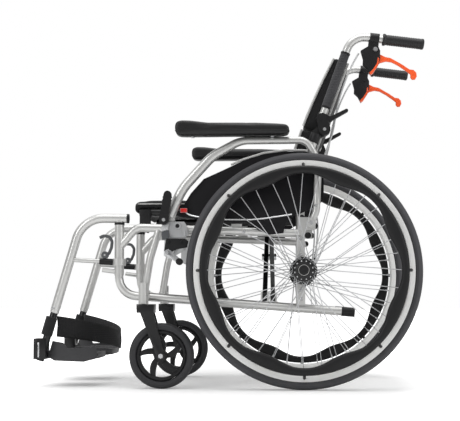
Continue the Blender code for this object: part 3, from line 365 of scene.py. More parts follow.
def rod(shape, a, b, radius, sides=12, end_radius=None):
    """Adds a cylinder, or a cone, from a to b."""
    a, b = Vector(a), Vector(b)
    turn = (b - a).to_track_quat("Z", "Y").to_matrix().to_4x4()
    bmesh.ops.create_cone(shape, cap_ends=True, segments=sides, radius1=radius,
        radius2=radius if end_radius is None else end_radius, depth=(b - a).length,
        matrix=Matrix.Translation((a + b) / 2) @ turn)


def rounded(corners, bend, steps=8):
    """Points through the corners, with each inner corner turned at the bend radius."""
    corners = [Vector(c) for c in corners]
    bends = bend if isinstance(bend, (list, tuple)) else [bend] * (len(corners) - 2)
    path = [corners[0]]
    for before, corner, after, radius in zip(corners, corners[1:], corners[2:], bends):
        d1, d2 = (corner - before).normalized(), (after - corner).normalized()
        turn = d1.angle(d2)
        reach = min(radius * math.tan(turn / 2), 0.48 * (corner - before).length,
            0.48 * (after - corner).length)
        radius = reach / math.tan(turn / 2)
        across = (d2 - d1 * d1.dot(d2)).normalized()
        centre = corner - d1 * reach + across * radius
        for step in range(steps + 1):
            angle = turn * step / steps
            path.append(centre + radius * (d1 * math.sin(angle) - across * math.cos(angle)))
    path.append(corners[-1])
    return path


def bar(name, path, radius, finish, body, sides=20, share=None, cyclic=False, stands_for=(), squash=None):
    """A round bar along a path, made from a bevelled curve and kept as a mesh."""
    data = bpy.data.curves.new(name, "CURVE")
    data.dimensions, data.bevel_depth = "3D", radius
    data.bevel_resolution = sides // 2 - 2
    data.use_fill_caps = not cyclic
    spline = data.splines.new("POLY")
    spline.points.add(len(path) - 1)
    spline.use_cyclic_u = cyclic
    for index, point in enumerate(path):
        spline.points[index].co = (*point, 1)
        spline.points[index].radius = share[index] if share else 1
    curve = bpy.data.objects.new(name, data)
    scene.collection.objects.link(curve)
    mesh = baked(curve)
    bpy.data.objects.remove(curve, do_unlink=True)
    shape = bmesh.new()
    shape.from_mesh(mesh)
    if squash:
        middle, factor = squash
        bmesh.ops.scale(shape, vec=(factor, 1, 1), verts=shape.verts,
            space=Matrix.Translation((-middle, 0, 0)))
    bmesh.ops.remove_doubles(shape, verts=shape.verts, dist=1e-6)
    return finished(shape, name, finish, body, stands_for=stands_for, crisp=50)


def softened(piece, width, segments=3, crisp=None, limit=32):
    """A bevel on the piece's edges, as moulded and machined parts have."""
    edge = piece.modifiers.new("edges", "BEVEL")
    edge.width, edge.segments, edge.limit_method = width, segments, "ANGLE"
    edge.angle_limit = math.radians(limit)
    if crisp:
        sharp_at(piece, crisp)


def plate(shape, outline, low, high, bevel=0.0, segments=2):
    """Adds a side-view outline of (y, z) points, given thickness from low to high along X."""
    points = [shape.verts.new((min(low, high), y, z)) for y, z in outline]
    face = shape.faces.new(points)
    grown = bmesh.ops.extrude_face_region(shape, geom=[face])["geom"]
    top = [g for g in grown if isinstance(g, bmesh.types.BMVert)]
    bmesh.ops.translate(shape, verts=top, vec=(abs(high - low), 0, 0))
    if bevel:
        rims = [e for e in shape.edges if e.verts[0] in top and e.verts[1] in top or e.verts[0] in points
            and e.verts[1] in points]
        bmesh.ops.bevel(shape, geom=rims, offset=bevel, segments=segments, profile=0.5, affect="EDGES",
            material=-1, clamp_overlap=True)


def oblong(y, z):
    """A rectangle's outline, from its (low, high) in Y and in Z."""
    return [(y[0], z[0]), (y[1], z[0]), (y[1], z[1]), (y[0], z[1])]


def from_axle(places):
    """A side-view outline, given from the rear axle line."""
    return [(AXLE.y + y, z) for y, z in places]


def crosswise(side, place, inner, outer, radius, sides=20, end_radius=None):
    """What rod needs for a bar along X at a side-view place, from the inner X to the outer."""
    y, z = place
    return (side * inner, AXLE.y + y, z), (side * outer, AXLE.y + y, z), radius, sides, end_radius


def cut_plate(name, outline, span, bevel, segments, finish, body, crisp=None, **more):
    """A piece made of one plate; span is where it lies along X."""
    shape = bmesh.new()
    plate(shape, outline, *span, bevel, segments)
    finished(shape, name, finish, body, crisp=crisp, **more)


def rod_piece(name, rods, finish, body, crisp=None, smooth=True):
    """A piece made of rods, each given as what rod needs."""
    shape = bmesh.new()
    for each in rods:
        rod(shape, *each)
    return finished(shape, name, finish, body, smooth, crisp=crisp)

# %% [markdown]
# **Rear tyres and rims.**  A solid grey tyre has a round crown with three shallow grooves and a
# flat bead on a bright rim.  Each is one profile spun about the axle: the grooves are four points.

# %% Rear tyres and rims
def tyre_profile(low_x, high_x, outer, inner, grooves):
    """A rounded tread from bead to bead, with grooves at shares of the width."""
    middle, half = (low_x + high_x) / 2, (high_x - low_x) / 2
    depth = outer - inner
    points = [(middle - half * 0.62, inner), (middle - half * 0.86, inner + depth * 0.14)]
    for step in range(17):
        angle = math.pi * (1 - step / 16)
        x = middle + half * math.cos(angle)
        r = inner + depth * 0.42 + depth * 0.58 * math.sin(angle) ** 0.7
        share = math.cos(angle)
        if any(abs(share - g) < 0.06 for g in grooves):
            r -= 0.0012
        points.append((x, r))
    return points + [(middle + half * 0.86, inner + depth * 0.14), (middle + half * 0.62, inner)]


for prefix, side in SIDES.items():
    low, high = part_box(prefix + "_rear_tyre")
    radius = (high[2] - low[2]) / 2
    middle_x = (low[0] + high[0]) / 2
    half = (high[0] - low[0]) / 2 + 0.0012
    lathe(prefix + "_rear_tyre_tread", tyre_profile(-half, half, radius, radius - 0.0200, (-0.38, 0.38)),
        (middle_x, AXLE.y, AXLE.z), "tyre_rubber", prefix + "_wheel", steps=128, crisp=28,
        stands_for=[prefix + "_rear_tyre"])
    bead = radius - 0.0204
    rim = [(-0.0130, bead), (0.0130, bead), (0.0136, bead - 0.003), (0.0128, bead - 0.0125),
        (0.0100, bead - 0.0155), (0.0045, bead - 0.0172), (-0.0045, bead - 0.0172), (-0.0100, bead - 0.0155),
        (-0.0128, bead - 0.0125), (-0.0136, bead - 0.003)]
    lathe(prefix + "_rear_rim_wall", rim, (middle_x, AXLE.y, AXLE.z), "bright_anodised", prefix + "_wheel",
        steps=128, crisp=30, stands_for=[prefix + "_rear_rim"])
print("tyre radius", round(radius, 4))

# %% [markdown]
# **Laced spokes and hub.**  Thirty-six wires leave two hub flanges at a slant, half of them
# leaning forwards and half back, so that they can drive the wheel and brake it.  The hub is a
# spun shell with a ring of bolts on its outer flange, and holds the drum brake on its inner end.

# %% Hub and spokes
SPOKES = 36
for prefix, side in SIDES.items():
    low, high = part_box(prefix + "_rear_rim")
    middle_x = (low[0] + high[0]) / 2
    rim_inner = (high[2] - low[2]) / 2 - 0.0172
    shape = bmesh.new()
    for index in range(SPOKES):
        angle = 2 * math.pi * index / SPOKES
        lean = math.radians(62) * (1 if index % 4 < 2 else -1)
        flange = middle_x + side * (0.0185 if index % 2 else -0.0150)
        hub_r = 0.0235
        near = (flange, AXLE.y + hub_r * math.cos(angle + lean), AXLE.z + hub_r * math.sin(angle + lean))
        far = (middle_x, AXLE.y + rim_inner * math.cos(angle), AXLE.z + rim_inner * math.sin(angle))
        rod(shape, near, far, 0.0011, 6)
        toward = (Vector(near) - Vector(far)).normalized()
        rod(shape, far, Vector(far) + toward * 0.011, 0.0020, 6)
    finished(shape, prefix + "_laced_spokes", "spoke_steel", prefix + "_wheel",
        stands_for=[prefix + "_rear_hub"])
    hub = [(0.0272, 0), (0.0272, 0.0110), (0.0250, 0.0125), (0.0245, 0.0175), (0.0225, 0.0200),
        (0.0218, 0.0285), (0.0190, 0.0290), (0.0172, 0.0275), (0.0160, 0.0190), (0.0060, 0.0165),
        (-0.0060, 0.0165), (-0.0125, 0.0190), (-0.0135, 0.0280), (-0.0150, 0.0355), (-0.0270, 0.0360),
        (-0.0280, 0.0345), (-0.0280, 0)]
    lathe(prefix + "_hub_shell", [(side * x, r) for x, r in hub], (middle_x, AXLE.y, AXLE.z),
        "satin_black_enamel", prefix + "_wheel", steps=48, crisp=35)
    shape = bmesh.new()
    for index in range(12):
        angle = 2 * math.pi * (index + 0.5) / 12
        y, z = AXLE.y + 0.0236 * math.cos(angle), AXLE.z + 0.0236 * math.sin(angle)
        rod(shape, (middle_x + side * 0.0215, y, z), (middle_x + side * 0.0236, y, z), 0.0021, 8)
    finished(shape, prefix + "_hub_bolts", "bright_steel", prefix + "_wheel")
    cap = [(0.0316, 0), (0.0332, 0.004), (0.0328, 0.0105), (0.0312, 0.0136), (0.0284, 0.0142), (0.0284, 0)]
    lathe(prefix + "_axle_cap", [(side * x, r) for x, r in cap], (middle_x, AXLE.y, AXLE.z), "moulded_nylon",
        prefix + "_frame", steps=32)

# %% [markdown]
# **Push rims.**  The hand ring isn't round: eight pads swell inwards between thin necks, so a
# palm finds a grip.  One flat-sided ring is spun, then its inner vertices move by a wave of the
# angle.  Small tabs hold it off the wheel's rim.

# %% Push rims
LOBES = 8
for prefix, side in SIDES.items():
    ring_x, outer = side * 0.305, 0.267
    shape = bmesh.new()
    section = []
    for step in range(16):
        angle = 2 * math.pi * (step + 0.5) / 16
        section.append((0.0090 * math.copysign(abs(math.cos(angle)) ** 0.8, math.cos(angle)),
            outer - 0.0090 + 0.0090 * math.copysign(abs(math.sin(angle)) ** 0.8, math.sin(angle))))
    spun(shape, section, (0, 0, 0), 192)
    for vert in shape.verts:
        angle = math.atan2(vert.co.z, vert.co.y)
        reach = math.hypot(vert.co.y, vert.co.z)
        inward = max(0, min(1, (outer - 0.006 - reach) / 0.008))
        wave = 0.5 + 0.5 * math.cos(LOBES * (angle - math.radians(22.5)))
        moved = reach - inward * (0.002 + 0.0145 * wave ** 1.3)
        vert.co.y, vert.co.z = vert.co.y * moved / reach, vert.co.z * moved / reach
    bmesh.ops.translate(shape, verts=shape.verts, vec=(ring_x, AXLE.y, AXLE.z))
    for index in range(LOBES):
        angle = 2 * math.pi * index / LOBES
        across, up = math.cos(angle), math.sin(angle)
        rod(shape, (ring_x, AXLE.y + 0.257 * across, AXLE.z + 0.257 * up),
            (side * 0.2786, AXLE.y + 0.2745 * across, AXLE.z + 0.2745 * up), 0.0048, 10, 0.0040)
    finished(shape, prefix + "_push_rim_ring", "moulded_nylon", prefix + "_wheel",
        stands_for=[prefix + "_push_rim"])

# %% [markdown]
# **Casters.**  A small solid tyre sits on a moulded black wheel with three broad curved spokes.
# The wheel is a spun rim and hub; each spoke is an outline given thickness and a rounded edge.

# %% Casters
for prefix, side in SIDES.items():
    low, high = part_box(prefix + "_caster_tyre")
    centre = Vector(((low[0] + high[0]) / 2, (low[1] + high[1]) / 2, (low[2] + high[2]) / 2))
    radius = (high[2] - low[2]) / 2
    half = (high[0] - low[0]) / 2
    lathe(prefix + "_caster_tread", tyre_profile(-half, half, radius, radius - 0.0200, (-0.45, 0.0, 0.45)),
        centre, "caster_rubber", prefix + "_caster_roller", steps=96, crisp=30,
        stands_for=[prefix + "_caster_tyre"])
    seat_r = radius - 0.0205
    ring = [(-0.0110, seat_r), (0.0110, seat_r), (0.0128, seat_r - 0.002), (0.0128, seat_r - 0.0065),
        (0.0105, seat_r - 0.009), (-0.0105, seat_r - 0.009), (-0.0128, seat_r - 0.0065),
        (-0.0128, seat_r - 0.002)]
    lathe(prefix + "_caster_rim", ring, centre, "moulded_nylon", prefix + "_caster_roller", steps=64,
        crisp=35, stands_for=[prefix + "_caster_wheel"])
    hub = [(0.0166, 0.0045), (0.0166, 0.0120), (0.0150, 0.0150), (-0.0150, 0.0150), (-0.0166, 0.0120),
        (-0.0166, 0.0045)]
    lathe(prefix + "_caster_hub", hub, centre, "moulded_nylon", prefix + "_caster_roller", steps=40)
    shape = bmesh.new()
    for index in range(5):
        sweep = []
        for end, way in ((0, 1), (1, -1)):
            steps = [i / 6 for i in range(7)]
            for t in (steps if way == 1 else reversed(steps)):
                reach = 0.0125 + (seat_r - 0.0075 - 0.0125) * t
                turn = 2 * math.pi * index / 5 + 0.55 * t + way * (0.42 - 0.27 * t) * (1 - 0.25 * t)
                sweep.append((centre.y + reach * math.cos(turn), centre.z + reach * math.sin(turn)))
        plate(shape, sweep, centre.x - 0.0095, centre.x + 0.0095, 0.0015)
    finished(shape, prefix + "_caster_spokes", "moulded_nylon", prefix + "_caster_roller", crisp=35)
    bolts = rod_piece(prefix + "_caster_bolt", [((centre.x + way * 0.0228, centre.y, centre.z),
        (centre.x + way * 0.0262, centre.y, centre.z), 0.0068, 6) for way in (-1, 1)], "bright_steel",
        prefix + "_caster_swivel_body", smooth=False)
    softened(bolts, 0.0006)
print("casters done")

# %% [markdown]
# **Smooth tubes.**  The solid frame's tubes have ten sides, which is enough to test how it moves.
# A finer round skin, a tenth of a millimetre larger, goes over each visible run, so that the
# highlights run clean along it; the welds, plugs and brackets of the solid show where they join.

# %% Tube skins
FRAME_X, CANE_X, ARMREST_X = 0.210, 0.206, 0.2352
LEAN = math.radians(20.2)
CANE_WAY = Vector((0, math.sin(LEAN), math.cos(LEAN)))
HANDLE_WAY = Vector((0, 0.9913, -0.1316))
CANE_BEND = Vector((0, AXLE.y - 0.007, 0.553))
CANE_LOW_END = CANE_BEND + CANE_WAY * 0.098
CANE_HIGH_START = CANE_LOW_END + CANE_WAY * 0.066
HANDLE_CORNER = CANE_HIGH_START + CANE_WAY * ((0.931 - CANE_HIGH_START.z) / CANE_WAY.z)
GRIP_START = HANDLE_CORNER + HANDLE_WAY * 0.082
SKIN = 0.0001


def along(x, places):
    """Side-view places from the axle line, as points in the plane at x."""
    return [Vector((x, AXLE.y + y, z)) for y, z in places]


for prefix, side in SIDES.items():
    x = side * FRAME_X
    body = prefix + "_frame"
    bar(prefix + "_lower_tube", rounded(along(x, ((-0.487, 0.418), (-0.487, 0.243), (0.101, 0.1993))), 0.05),
        0.011 + SKIN, "silver_paint", body)
    bar(prefix + "_front_post", along(x, ((-0.487, 0.294), (-0.487, 0.4275))), 0.0126, "silver_paint", body,
        sides=32)
    bar(prefix + "_upper_tube", rounded(along(x, ((-0.487, 0.368), (-0.442, 0.4215), (-0.008, 0.4035))),
        0.04), 0.011 + SKIN, "silver_paint", body)
    bar(prefix + "_diagonal_tube", rounded(along(x, ((-0.421, 0.238), (-0.405, 0.339), (-0.381, 0.4185))),
        0.2), 0.010 + SKIN, "silver_paint", body)
    lower_cane = [Vector((side * CANE_X, AXLE.y - 0.007, 0.39)), CANE_BEND + Vector((side * CANE_X, 0, 0)),
        CANE_LOW_END + Vector((side * CANE_X, 0, -0.001))]
    bar(prefix + "_lower_cane", rounded(lower_cane, 0.12), 0.0105 + SKIN, "silver_paint", body)
    offset = Vector((side * CANE_X, 0, 0))
    cane = [CANE_HIGH_START + offset, HANDLE_CORNER + offset, GRIP_START + offset]
    bar(prefix + "_push_handle_tube", rounded(cane, 0.065, 14), 0.0105 + SKIN, "silver_paint",
        prefix + "_back")
    hanger = along(x, ((-0.659, 0.196), (-0.586, 0.4465), (-0.4665, 0.4447)))
    bar(prefix + "_hanger_tube", rounded(hanger, 0.078, 14), 0.012 + SKIN, "silver_paint",
        prefix + "_legrest", sides=24)
    arm = rounded(along(side * ARMREST_X, ((-0.350, 0.4478), (-0.318, 0.520), (-0.240, 0.606),
        (-0.165, 0.6475), (0.010, 0.6475), (0.040, 0.590), (0.034, 0.460), (0.020, 0.430))),
        [0.15, 0.12, 0.08, 0.035, 0.06, 0.05])
    share = [1.32 - 0.37 * min(1, max(0, (p.y - AXLE.y + 0.245) / 0.115)) for p in arm]
    bar(prefix + "_armrest_tube", arm[:-1], 0.0101, "silver_paint", prefix + "_armrest", sides=24,
        share=share[:-1], squash=(side * ARMREST_X, 0.79))
print("tube skins done")

# %% [markdown]
# **End caps and pins.**  A black plug closes the open rear end of each lower tube and the top of
# each legrest hanger; a bush sits between the post and the hanger.  Bright button-head bolts
# show wherever a bracket meets a tube.

# %% Plugs, bushes and bolts
LOCK_PIVOT = (-0.3625, 0.4365)
# Each group of heads: name, body, finish, and each head's (x, y, z, radius).
BOLTS = (
    ("frame_bolts", "frame", "bright_steel", (
        (0.2160, -0.007, 0.391, 0.0055), (0.2160, -0.007, 0.347, 0.0045), (0.2160, -0.007, 0.232, 0.0050),
        (0.2160, -0.007, 0.256, 0.0050), (0.2205, -0.223, 0.4125, 0.0040), (0.2205, -0.155, 0.4097, 0.0040))),
    ("hinge_rivet", "back", "bright_steel", ((CANE_X + 0.0120, 0.0575, 0.679, 0.0060),)),
    ("lever_bolt", "back", "bright_steel",
     ((CANE_X + 0.0100, HANDLE_CORNER.y - AXLE.y + 0.0612, 0.8926, 0.0075),)),
    ("lock_rivets", "frame", "bright_steel", ((0.2735, *LOCK_PIVOT, 0.0060), (0.2735, -0.352, 0.352, 0.0050))),
    ("lock_screws", "frame", "moulded_nylon", (
        (0.2545, -0.351, 0.3800, 0.0040), (0.2545, -0.317, 0.3800, 0.0040), (0.2375, -0.330, 0.423, 0.0056))),
    ("hanger_screws", "legrest", "bright_steel",
     ((0.2216, -0.660, 0.208, 0.0040), (0.2156, -0.617, 0.336, 0.0040))),
    ("armrest_bolts", "armrest", "bright_steel",
     ((ARMREST_X + 0.0075, 0.033, 0.475, 0.0042), (ARMREST_X + 0.0072, 0.020, 0.430, 0.0070))),
)


for prefix, side in SIDES.items():
    x = side * FRAME_X
    rear = along(x, ((0.0985, 0.1995), (0.1328, 0.1969)))
    bar(prefix + "_tube_plug", rear, 0.0122, "moulded_nylon", prefix + "_frame", sides=24)
    bar(prefix + "_hanger_plug", along(x, ((-0.4672, 0.4447), (-0.4615, 0.4446))), 0.0124, "moulded_nylon",
        prefix + "_legrest", sides=24)
    bar(prefix + "_post_bush", [Vector((x, AXLE.y - 0.487, z)) for z in (0.4283, 0.4345)], 0.0134,
        "moulded_nylon", prefix + "_legrest", sides=32)
    bar(prefix + "_clamp_sleeve", along(x, ((-0.539, 0.3316), (-0.503, 0.3295))), 0.0085, "moulded_nylon",
        prefix + "_legrest", sides=20)
    for short, body, finish, heads in BOLTS:
        rod_piece(prefix + "_" + short, [crosswise(side, (y, z), x, x + 0.5 * r, r, 20, r * 0.72) for x, y, z,
            r in heads], finish, prefix + "_" + body, 35)
print("fasteners done")

# %% [markdown]
# **Moulded brackets.**  The solid plates have square edges; a small bevel gives each the rounded
# rim of a casting or a moulding.  The rear armrest pivot gets its three rubber bumpers.

# %% Rounded edges on brackets
EDGE_WIDTHS = {"lock_bracket": 0.0016, "legrest_latch": 0.0018, "brake_housing": 0.0018, "footplate": 0.0016,
    "foot_tube": 0.0012, "caster_fork": 0.0022, "back_hinge": 0.0012, "back_release_lever": 0.0020,
    "lock_shoe": 0.0008, "side_guard": 0.0005}
RIBS = 6
for prefix, side in SIDES.items():
    for short, width in EDGE_WIDTHS.items():
        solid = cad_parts[prefix + "_" + short]
        solid.modifiers.remove(solid.modifiers["sharp_edges"])
        softened(solid, width, 2, 42, 42)
    rod_piece(prefix + "_armrest_bumpers", [crosswise(side, place, 0.2165, 0.2210, 0.0088, 20,
        0.0078) for place in ((-0.004, 0.444), (0.030, 0.423), (0.012, 0.398))], "moulded_nylon",
        prefix + "_frame", 40)
    ribs = []
    for index in range(RIBS):
        t = 0.30 + 0.60 * index / (RIBS - 1)
        y, z = LOCK_PIVOT[0] + 0.0095 * t, LOCK_PIVOT[1] + 0.0665 * t
        ribs += [crosswise(side, (y + way * 0.0108, z), 0.2545, 0.2715, 0.0014, 8) for way in (-1, 1)]
    rod_piece(prefix + "_lock_ribs", ribs, "moulded_nylon", prefix + "_lock")

# %% [markdown]
# **Grips, levers and cables.**  A soft rubber grip slips over the handle tube, with raised rings
# and a flared end.  The lever is flat bar with a ball tip; its outline is given thickness and
# rounded.  A grey cable sleeve runs from the brake housing down behind the cane to the hub.

# %% Grips, brake levers and cables
def from_handle(distance, down):
    """A side-view place (y, z), by distance along the handle from its corner and below its axis."""
    place = HANDLE_CORNER + HANDLE_WAY * distance - Vector((0, 0.1316, 0.9913)) * down
    return (place.y, place.z)


LEVER = ((0.060, 0.0265), (0.068, 0.0240), (0.078, 0.040), (0.095, 0.046), (0.109, 0.047), (0.123, 0.053),
    (0.142, 0.061), (0.162, 0.0715), (0.173, 0.0715), (0.181, 0.078), (0.1835, 0.088), (0.180, 0.097),
    (0.172, 0.0985), (0.167, 0.093), (0.166, 0.085), (0.151, 0.076), (0.132, 0.066), (0.113, 0.0585),
    (0.098, 0.058), (0.083, 0.064), (0.076, 0.072), (0.066, 0.090), (0.062, 0.086), (0.062, 0.060))
LEVER_ROOT = ((0.0745, 0.050), (0.0785, 0.053), (0.079, 0.070), (0.068, 0.093), (0.062, 0.0995),
    (0.058, 0.094), (0.067, 0.082), (0.0745, 0.066))
for prefix, side in SIDES.items():
    grip_length, grip_r = 0.110, 0.0140
    profile = [(-0.0002, 0.0108), (0, grip_r + 0.0012), (0.0020, grip_r + 0.0022), (0.0060, grip_r + 0.0018),
        (0.0080, grip_r)]
    for ring in range(14):
        x = 0.012 + ring * 0.0060
        profile += [(x, grip_r - 0.0006), (x + 0.0018, grip_r + 0.0002), (x + 0.0036, grip_r + 0.0002)]
    profile += [(grip_length - 0.010, grip_r), (grip_length - 0.006, grip_r + 0.0008),
        (grip_length - 0.002, grip_r), (grip_length, grip_r - 0.004), (grip_length, 0)]
    shape = bmesh.new()
    spun(shape, [(-0.0002, 0)] + profile, (0, 0, 0), 40)
    turn = HANDLE_WAY.to_track_quat("X", "Z").to_matrix().to_4x4()
    place = Matrix.Translation(GRIP_START + Vector((side * CANE_X, 0, 0)))
    bmesh.ops.transform(shape, matrix=place @ turn, verts=shape.verts)
    finished(shape, prefix + "_rubber_grip", "grip_rubber", prefix + "_back",
        stands_for=[prefix + "_hand_grip"])

    cut_plate(prefix + "_brake_lever_bar", [from_handle(*p) for p in LEVER],
        (side * CANE_X - 0.0042, side * CANE_X + 0.0042), 0.0022, 3, "orange_gloss", prefix + "_brake", 45,
        stands_for=[prefix + "_brake_lever"])
    cut_plate(prefix + "_lever_root_cover", [from_handle(*p) for p in LEVER_ROOT],
        (side * CANE_X - 0.0095, side * CANE_X + 0.0095), 0.0012, 2, "orange_gloss", prefix + "_back", 40)

    route = [(0.2060, 0.1500, 0.884), (0.2040, 0.137, 0.862), (0.2000, 0.120, 0.826), (0.1960, 0.106, 0.788),
        (0.1925, 0.094, 0.748), (0.1905, 0.087, 0.712), (0.1905, 0.080, 0.676), (0.1935, 0.068, 0.640),
        (0.1960, 0.050, 0.590), (0.1970, 0.034, 0.530), (0.1970, 0.034, 0.470), (0.1980, 0.038, 0.430),
        (0.2050, 0.037, 0.395), (0.2160, 0.033, 0.360), (0.2245, 0.030, 0.335)]
    points = [Vector((side * x, AXLE.y + y, z)) for x, y, z in route]
    smooth = []
    for i in range(len(points) - 1):
        p0, p1, p2, p3 = points[max(i - 1, 0)], points[i], points[i + 1], points[min(i + 2, len(points) - 1)]
        for t in (0, 0.25, 0.5, 0.75):
            smooth.append(0.5
                * (2 * p1 + (p2 - p0) * t + (2 * p0 - 5 * p1 + 4 * p2 - p3) * t ** 2
                + (3 * p1 - p0 - 3 * p2 + p3) * t ** 3))
    smooth.append(points[-1])
    cable = bar(prefix + "_cable_sleeve", smooth, 0.0024, "grey_cable_sleeve", None, sides=12,
        stands_for=[prefix + "_brake_cable"])
    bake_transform(cable)
print("grips, levers and cables done")

# %% [markdown]
# **Padding.**  Foam under cloth swells between its seams.  The pad is divided into even cells and
# blown up a little as cloth with gravity off, and each point's movement is limited, so that it
# keeps its drawn outline but loses its flat, hard faces.

# %% Puffing a pad
def puff(piece, voxel, pressure, limit):
    """Swells a closed mesh as cloth; no point moves further than the limit."""
    skin = piece.data.materials[0]
    remesh = piece.modifiers.new("even_cells", "REMESH")
    remesh.mode, remesh.voxel_size = "VOXEL", voxel
    even = baked(piece)
    piece.modifiers.remove(remesh)
    piece.data = even
    before = [v.co.copy() for v in even.vertices]
    cloth = piece.modifiers.new("cloth", "CLOTH")
    cloth.settings.use_pressure = True
    cloth.settings.uniform_pressure_force = pressure
    cloth.settings.quality = 6
    cloth.settings.effector_weights.gravity = 0
    for number in range(1, 21):
        scene.frame_set(number)
    blown = baked(piece)
    piece.modifiers.remove(cloth)
    for vert, start_at in zip(blown.vertices, before):
        step = vert.co - start_at
        if step.length > limit:
            vert.co = start_at + step * (limit / step.length)
    piece.data = blown
    scene.frame_set(1)
    piece.data.materials.clear()
    piece.data.materials.append(skin)
    piece.data.polygons.foreach_set("use_smooth", [True] * len(piece.data.polygons))
    relax = piece.modifiers.new("relax", "SMOOTH")
    relax.factor, relax.iterations = 0.5, 4
    piece.data = baked(piece)
    piece.modifiers.remove(relax)

# %% [markdown]
# **Armrest pads.**  A firm foam bar with a skin, thicker at the front, with a seam line low on
# its side and two screws underneath that hold it to the armrest tube.

# %% Armrest pads
PAD_SIDE = ((0.002, 0.010), (0.005, 0.003), (0.014, 0.0002), (0.286, 0.0002), (0.296, 0.003), (0.2995, 0.010),
    (0.2990, 0.020), (0.2920, 0.0275), (0.2700, 0.0290), (0.2150, 0.0315), (0.0850, 0.0325), (0.0400, 0.0385),
    (0.0180, 0.0400), (0.0060, 0.0375), (0.0010, 0.0300), (0.0002, 0.0200))
for prefix, side in SIDES.items():
    low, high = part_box(prefix + "_armrest_pad")
    shape = bmesh.new()
    plate(shape, [(low[1] + y, low[2] + z) for y, z in PAD_SIDE], low[0] + 0.0010, high[0] - 0.0010, 0.0052,
        4)
    pad = finished(shape, prefix + "_arm_cushion", "pad_skin", None)
    puff(pad, 0.0035, 3.0, 0.0012)
    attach(pad, prefix + "_armrest")
    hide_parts(prefix + "_armrest_pad")
    middle = (low[0] + high[0]) / 2
    half = (high[0] - low[0]) / 2
    front_y, rear_y, seam_z = low[1] + 0.002, high[1] - 0.001, low[2] + 0.0120
    welt = rounded([(middle - half, front_y, seam_z), (middle - half, rear_y, seam_z),
        (middle + half, rear_y, seam_z), (middle + half, front_y, seam_z)], 0.010, 6)
    bar(prefix + "_pad_seam", welt[1:] + [welt[0]], 0.0009, "pad_skin", prefix + "_armrest", sides=8,
        cyclic=True)
    screws = [((middle - 0.008, y, low[2] - 0.0030), (middle - 0.008, y, low[2] + 0.004), 0.0052, 16,
        0.0045) for y in (low[1] + 0.045, high[1] - 0.045)]
    rod_piece(prefix + "_pad_screws", screws, "bright_steel", prefix + "_armrest")
print("armrest pads done")

# %% [markdown]
# ** Seat.** A padded sling lies over both seat rails. Its front edge rolls down in front of them,
# and three stitched channels run from side to side.  The cross brace carries both rails.

# %% Seat
def slab(shape, section, low_x, high_x, columns, edge_drop):
    """A side-view section carried across the chair, with its top rounded down near both sides."""
    rows = []
    middle_z = sum(z for _, z in section) / len(section)
    for column in range(columns + 1):
        t = column / columns
        x = low_x + (high_x - low_x) * t
        edge = min(t, 1 - t) * (high_x - low_x)
        drop = edge_drop * max(0, 1 - edge / 0.025) ** 2
        rows.append([shape.verts.new((x, AXLE.y + y, z - (drop if z > middle_z else 0))) for y, z in section])
    count = len(section)
    for a, b in zip(rows, rows[1:]):
        for i in range(count):
            j = (i + 1) % count
            shape.faces.new((a[i], a[j], b[j], b[i]))
    shape.faces.new(list(reversed(rows[0])))
    shape.faces.new(rows[-1])
    bmesh.ops.recalc_face_normals(shape, faces=shape.faces)


seat_section = [(-0.4495, 0.4640), (-0.4445, 0.4590), (-0.4390, 0.4608), (-0.4370, 0.4735), (-0.30, 0.4735),
    (-0.17, 0.4735), (-0.0320, 0.4735), (-0.0300, 0.4850)]
seat_top = [(-0.0330, 0.4915), (-0.0480, 0.4930)]
for channel in range(1, 25):
    y = -0.048 - channel * 0.0158
    groove = 0.0026 if channel % 8 == 0 else 0.0
    seat_top.append((y, 0.4932 + 0.0014 * math.sin(math.pi * channel / 25) - groove))
seat_top += [(-0.4420, 0.4925), (-0.4480, 0.4870), (-0.4505, 0.4760)]
shape = bmesh.new()
slab(shape, seat_section + seat_top, -0.2005, 0.2005, 24, 0.005)
cushion = finished(shape, "seat_cushion", "woven_nylon", None)
puff(cushion, 0.006, 4.0, 0.0024)
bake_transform(cushion)
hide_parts("seat_sling")
for side_name, x, body in (("left", 0.1965, "cross_right"), ("right", -0.1965, "cross_left")):
    path = rounded([(x, AXLE.y - 0.036, 0.4845), (x, AXLE.y - 0.4410, 0.4845)], 0.01, 2)
    bar(side_name + "_seat_piping", path, 0.0016, "piping_cord", body, sides=10)
    for number, front in enumerate((-0.433, -0.190)):
        out = math.copysign(1, x)
        saddle = from_axle(oblong((front - 0.0008, front + 0.0288), (0.4300, 0.4688)))
        cut_plate(f"{side_name}_rail_saddle_{number}", saddle, (out * 0.2008, out * 0.2092), 0.0012, 2,
            "moulded_nylon", side_name + "_frame", 40)

# %% [markdown]
# **Back.**  Two padded panels meet at the folding hinge.  Each is thickest where it meets the
# user's back, thins to a hem over the tubes, and carries light piping along both edges.

# %% Back pads
def back_place(distance, forward):
    """A side-view place along the lean of the back tubes, and in front of their line."""
    place = CANE_LOW_END + CANE_WAY * distance
    return Vector((0, place.y - forward * math.cos(LEAN), place.z + forward * math.sin(LEAN)))


def room_in_front(distance):
    """How far a panel may stand out, so that the seat can rise past it when the chair folds."""
    return (back_place(distance, 0).y - (AXLE.y - 0.0265)) / math.cos(LEAN)


def stand_out(distance, front):
    """How far a panel's face stands from the tubes' line, which is most near its lower middle."""
    return front * (0.45 + 0.55 * math.cos((distance - 0.03) / 0.26 * math.pi / 2))


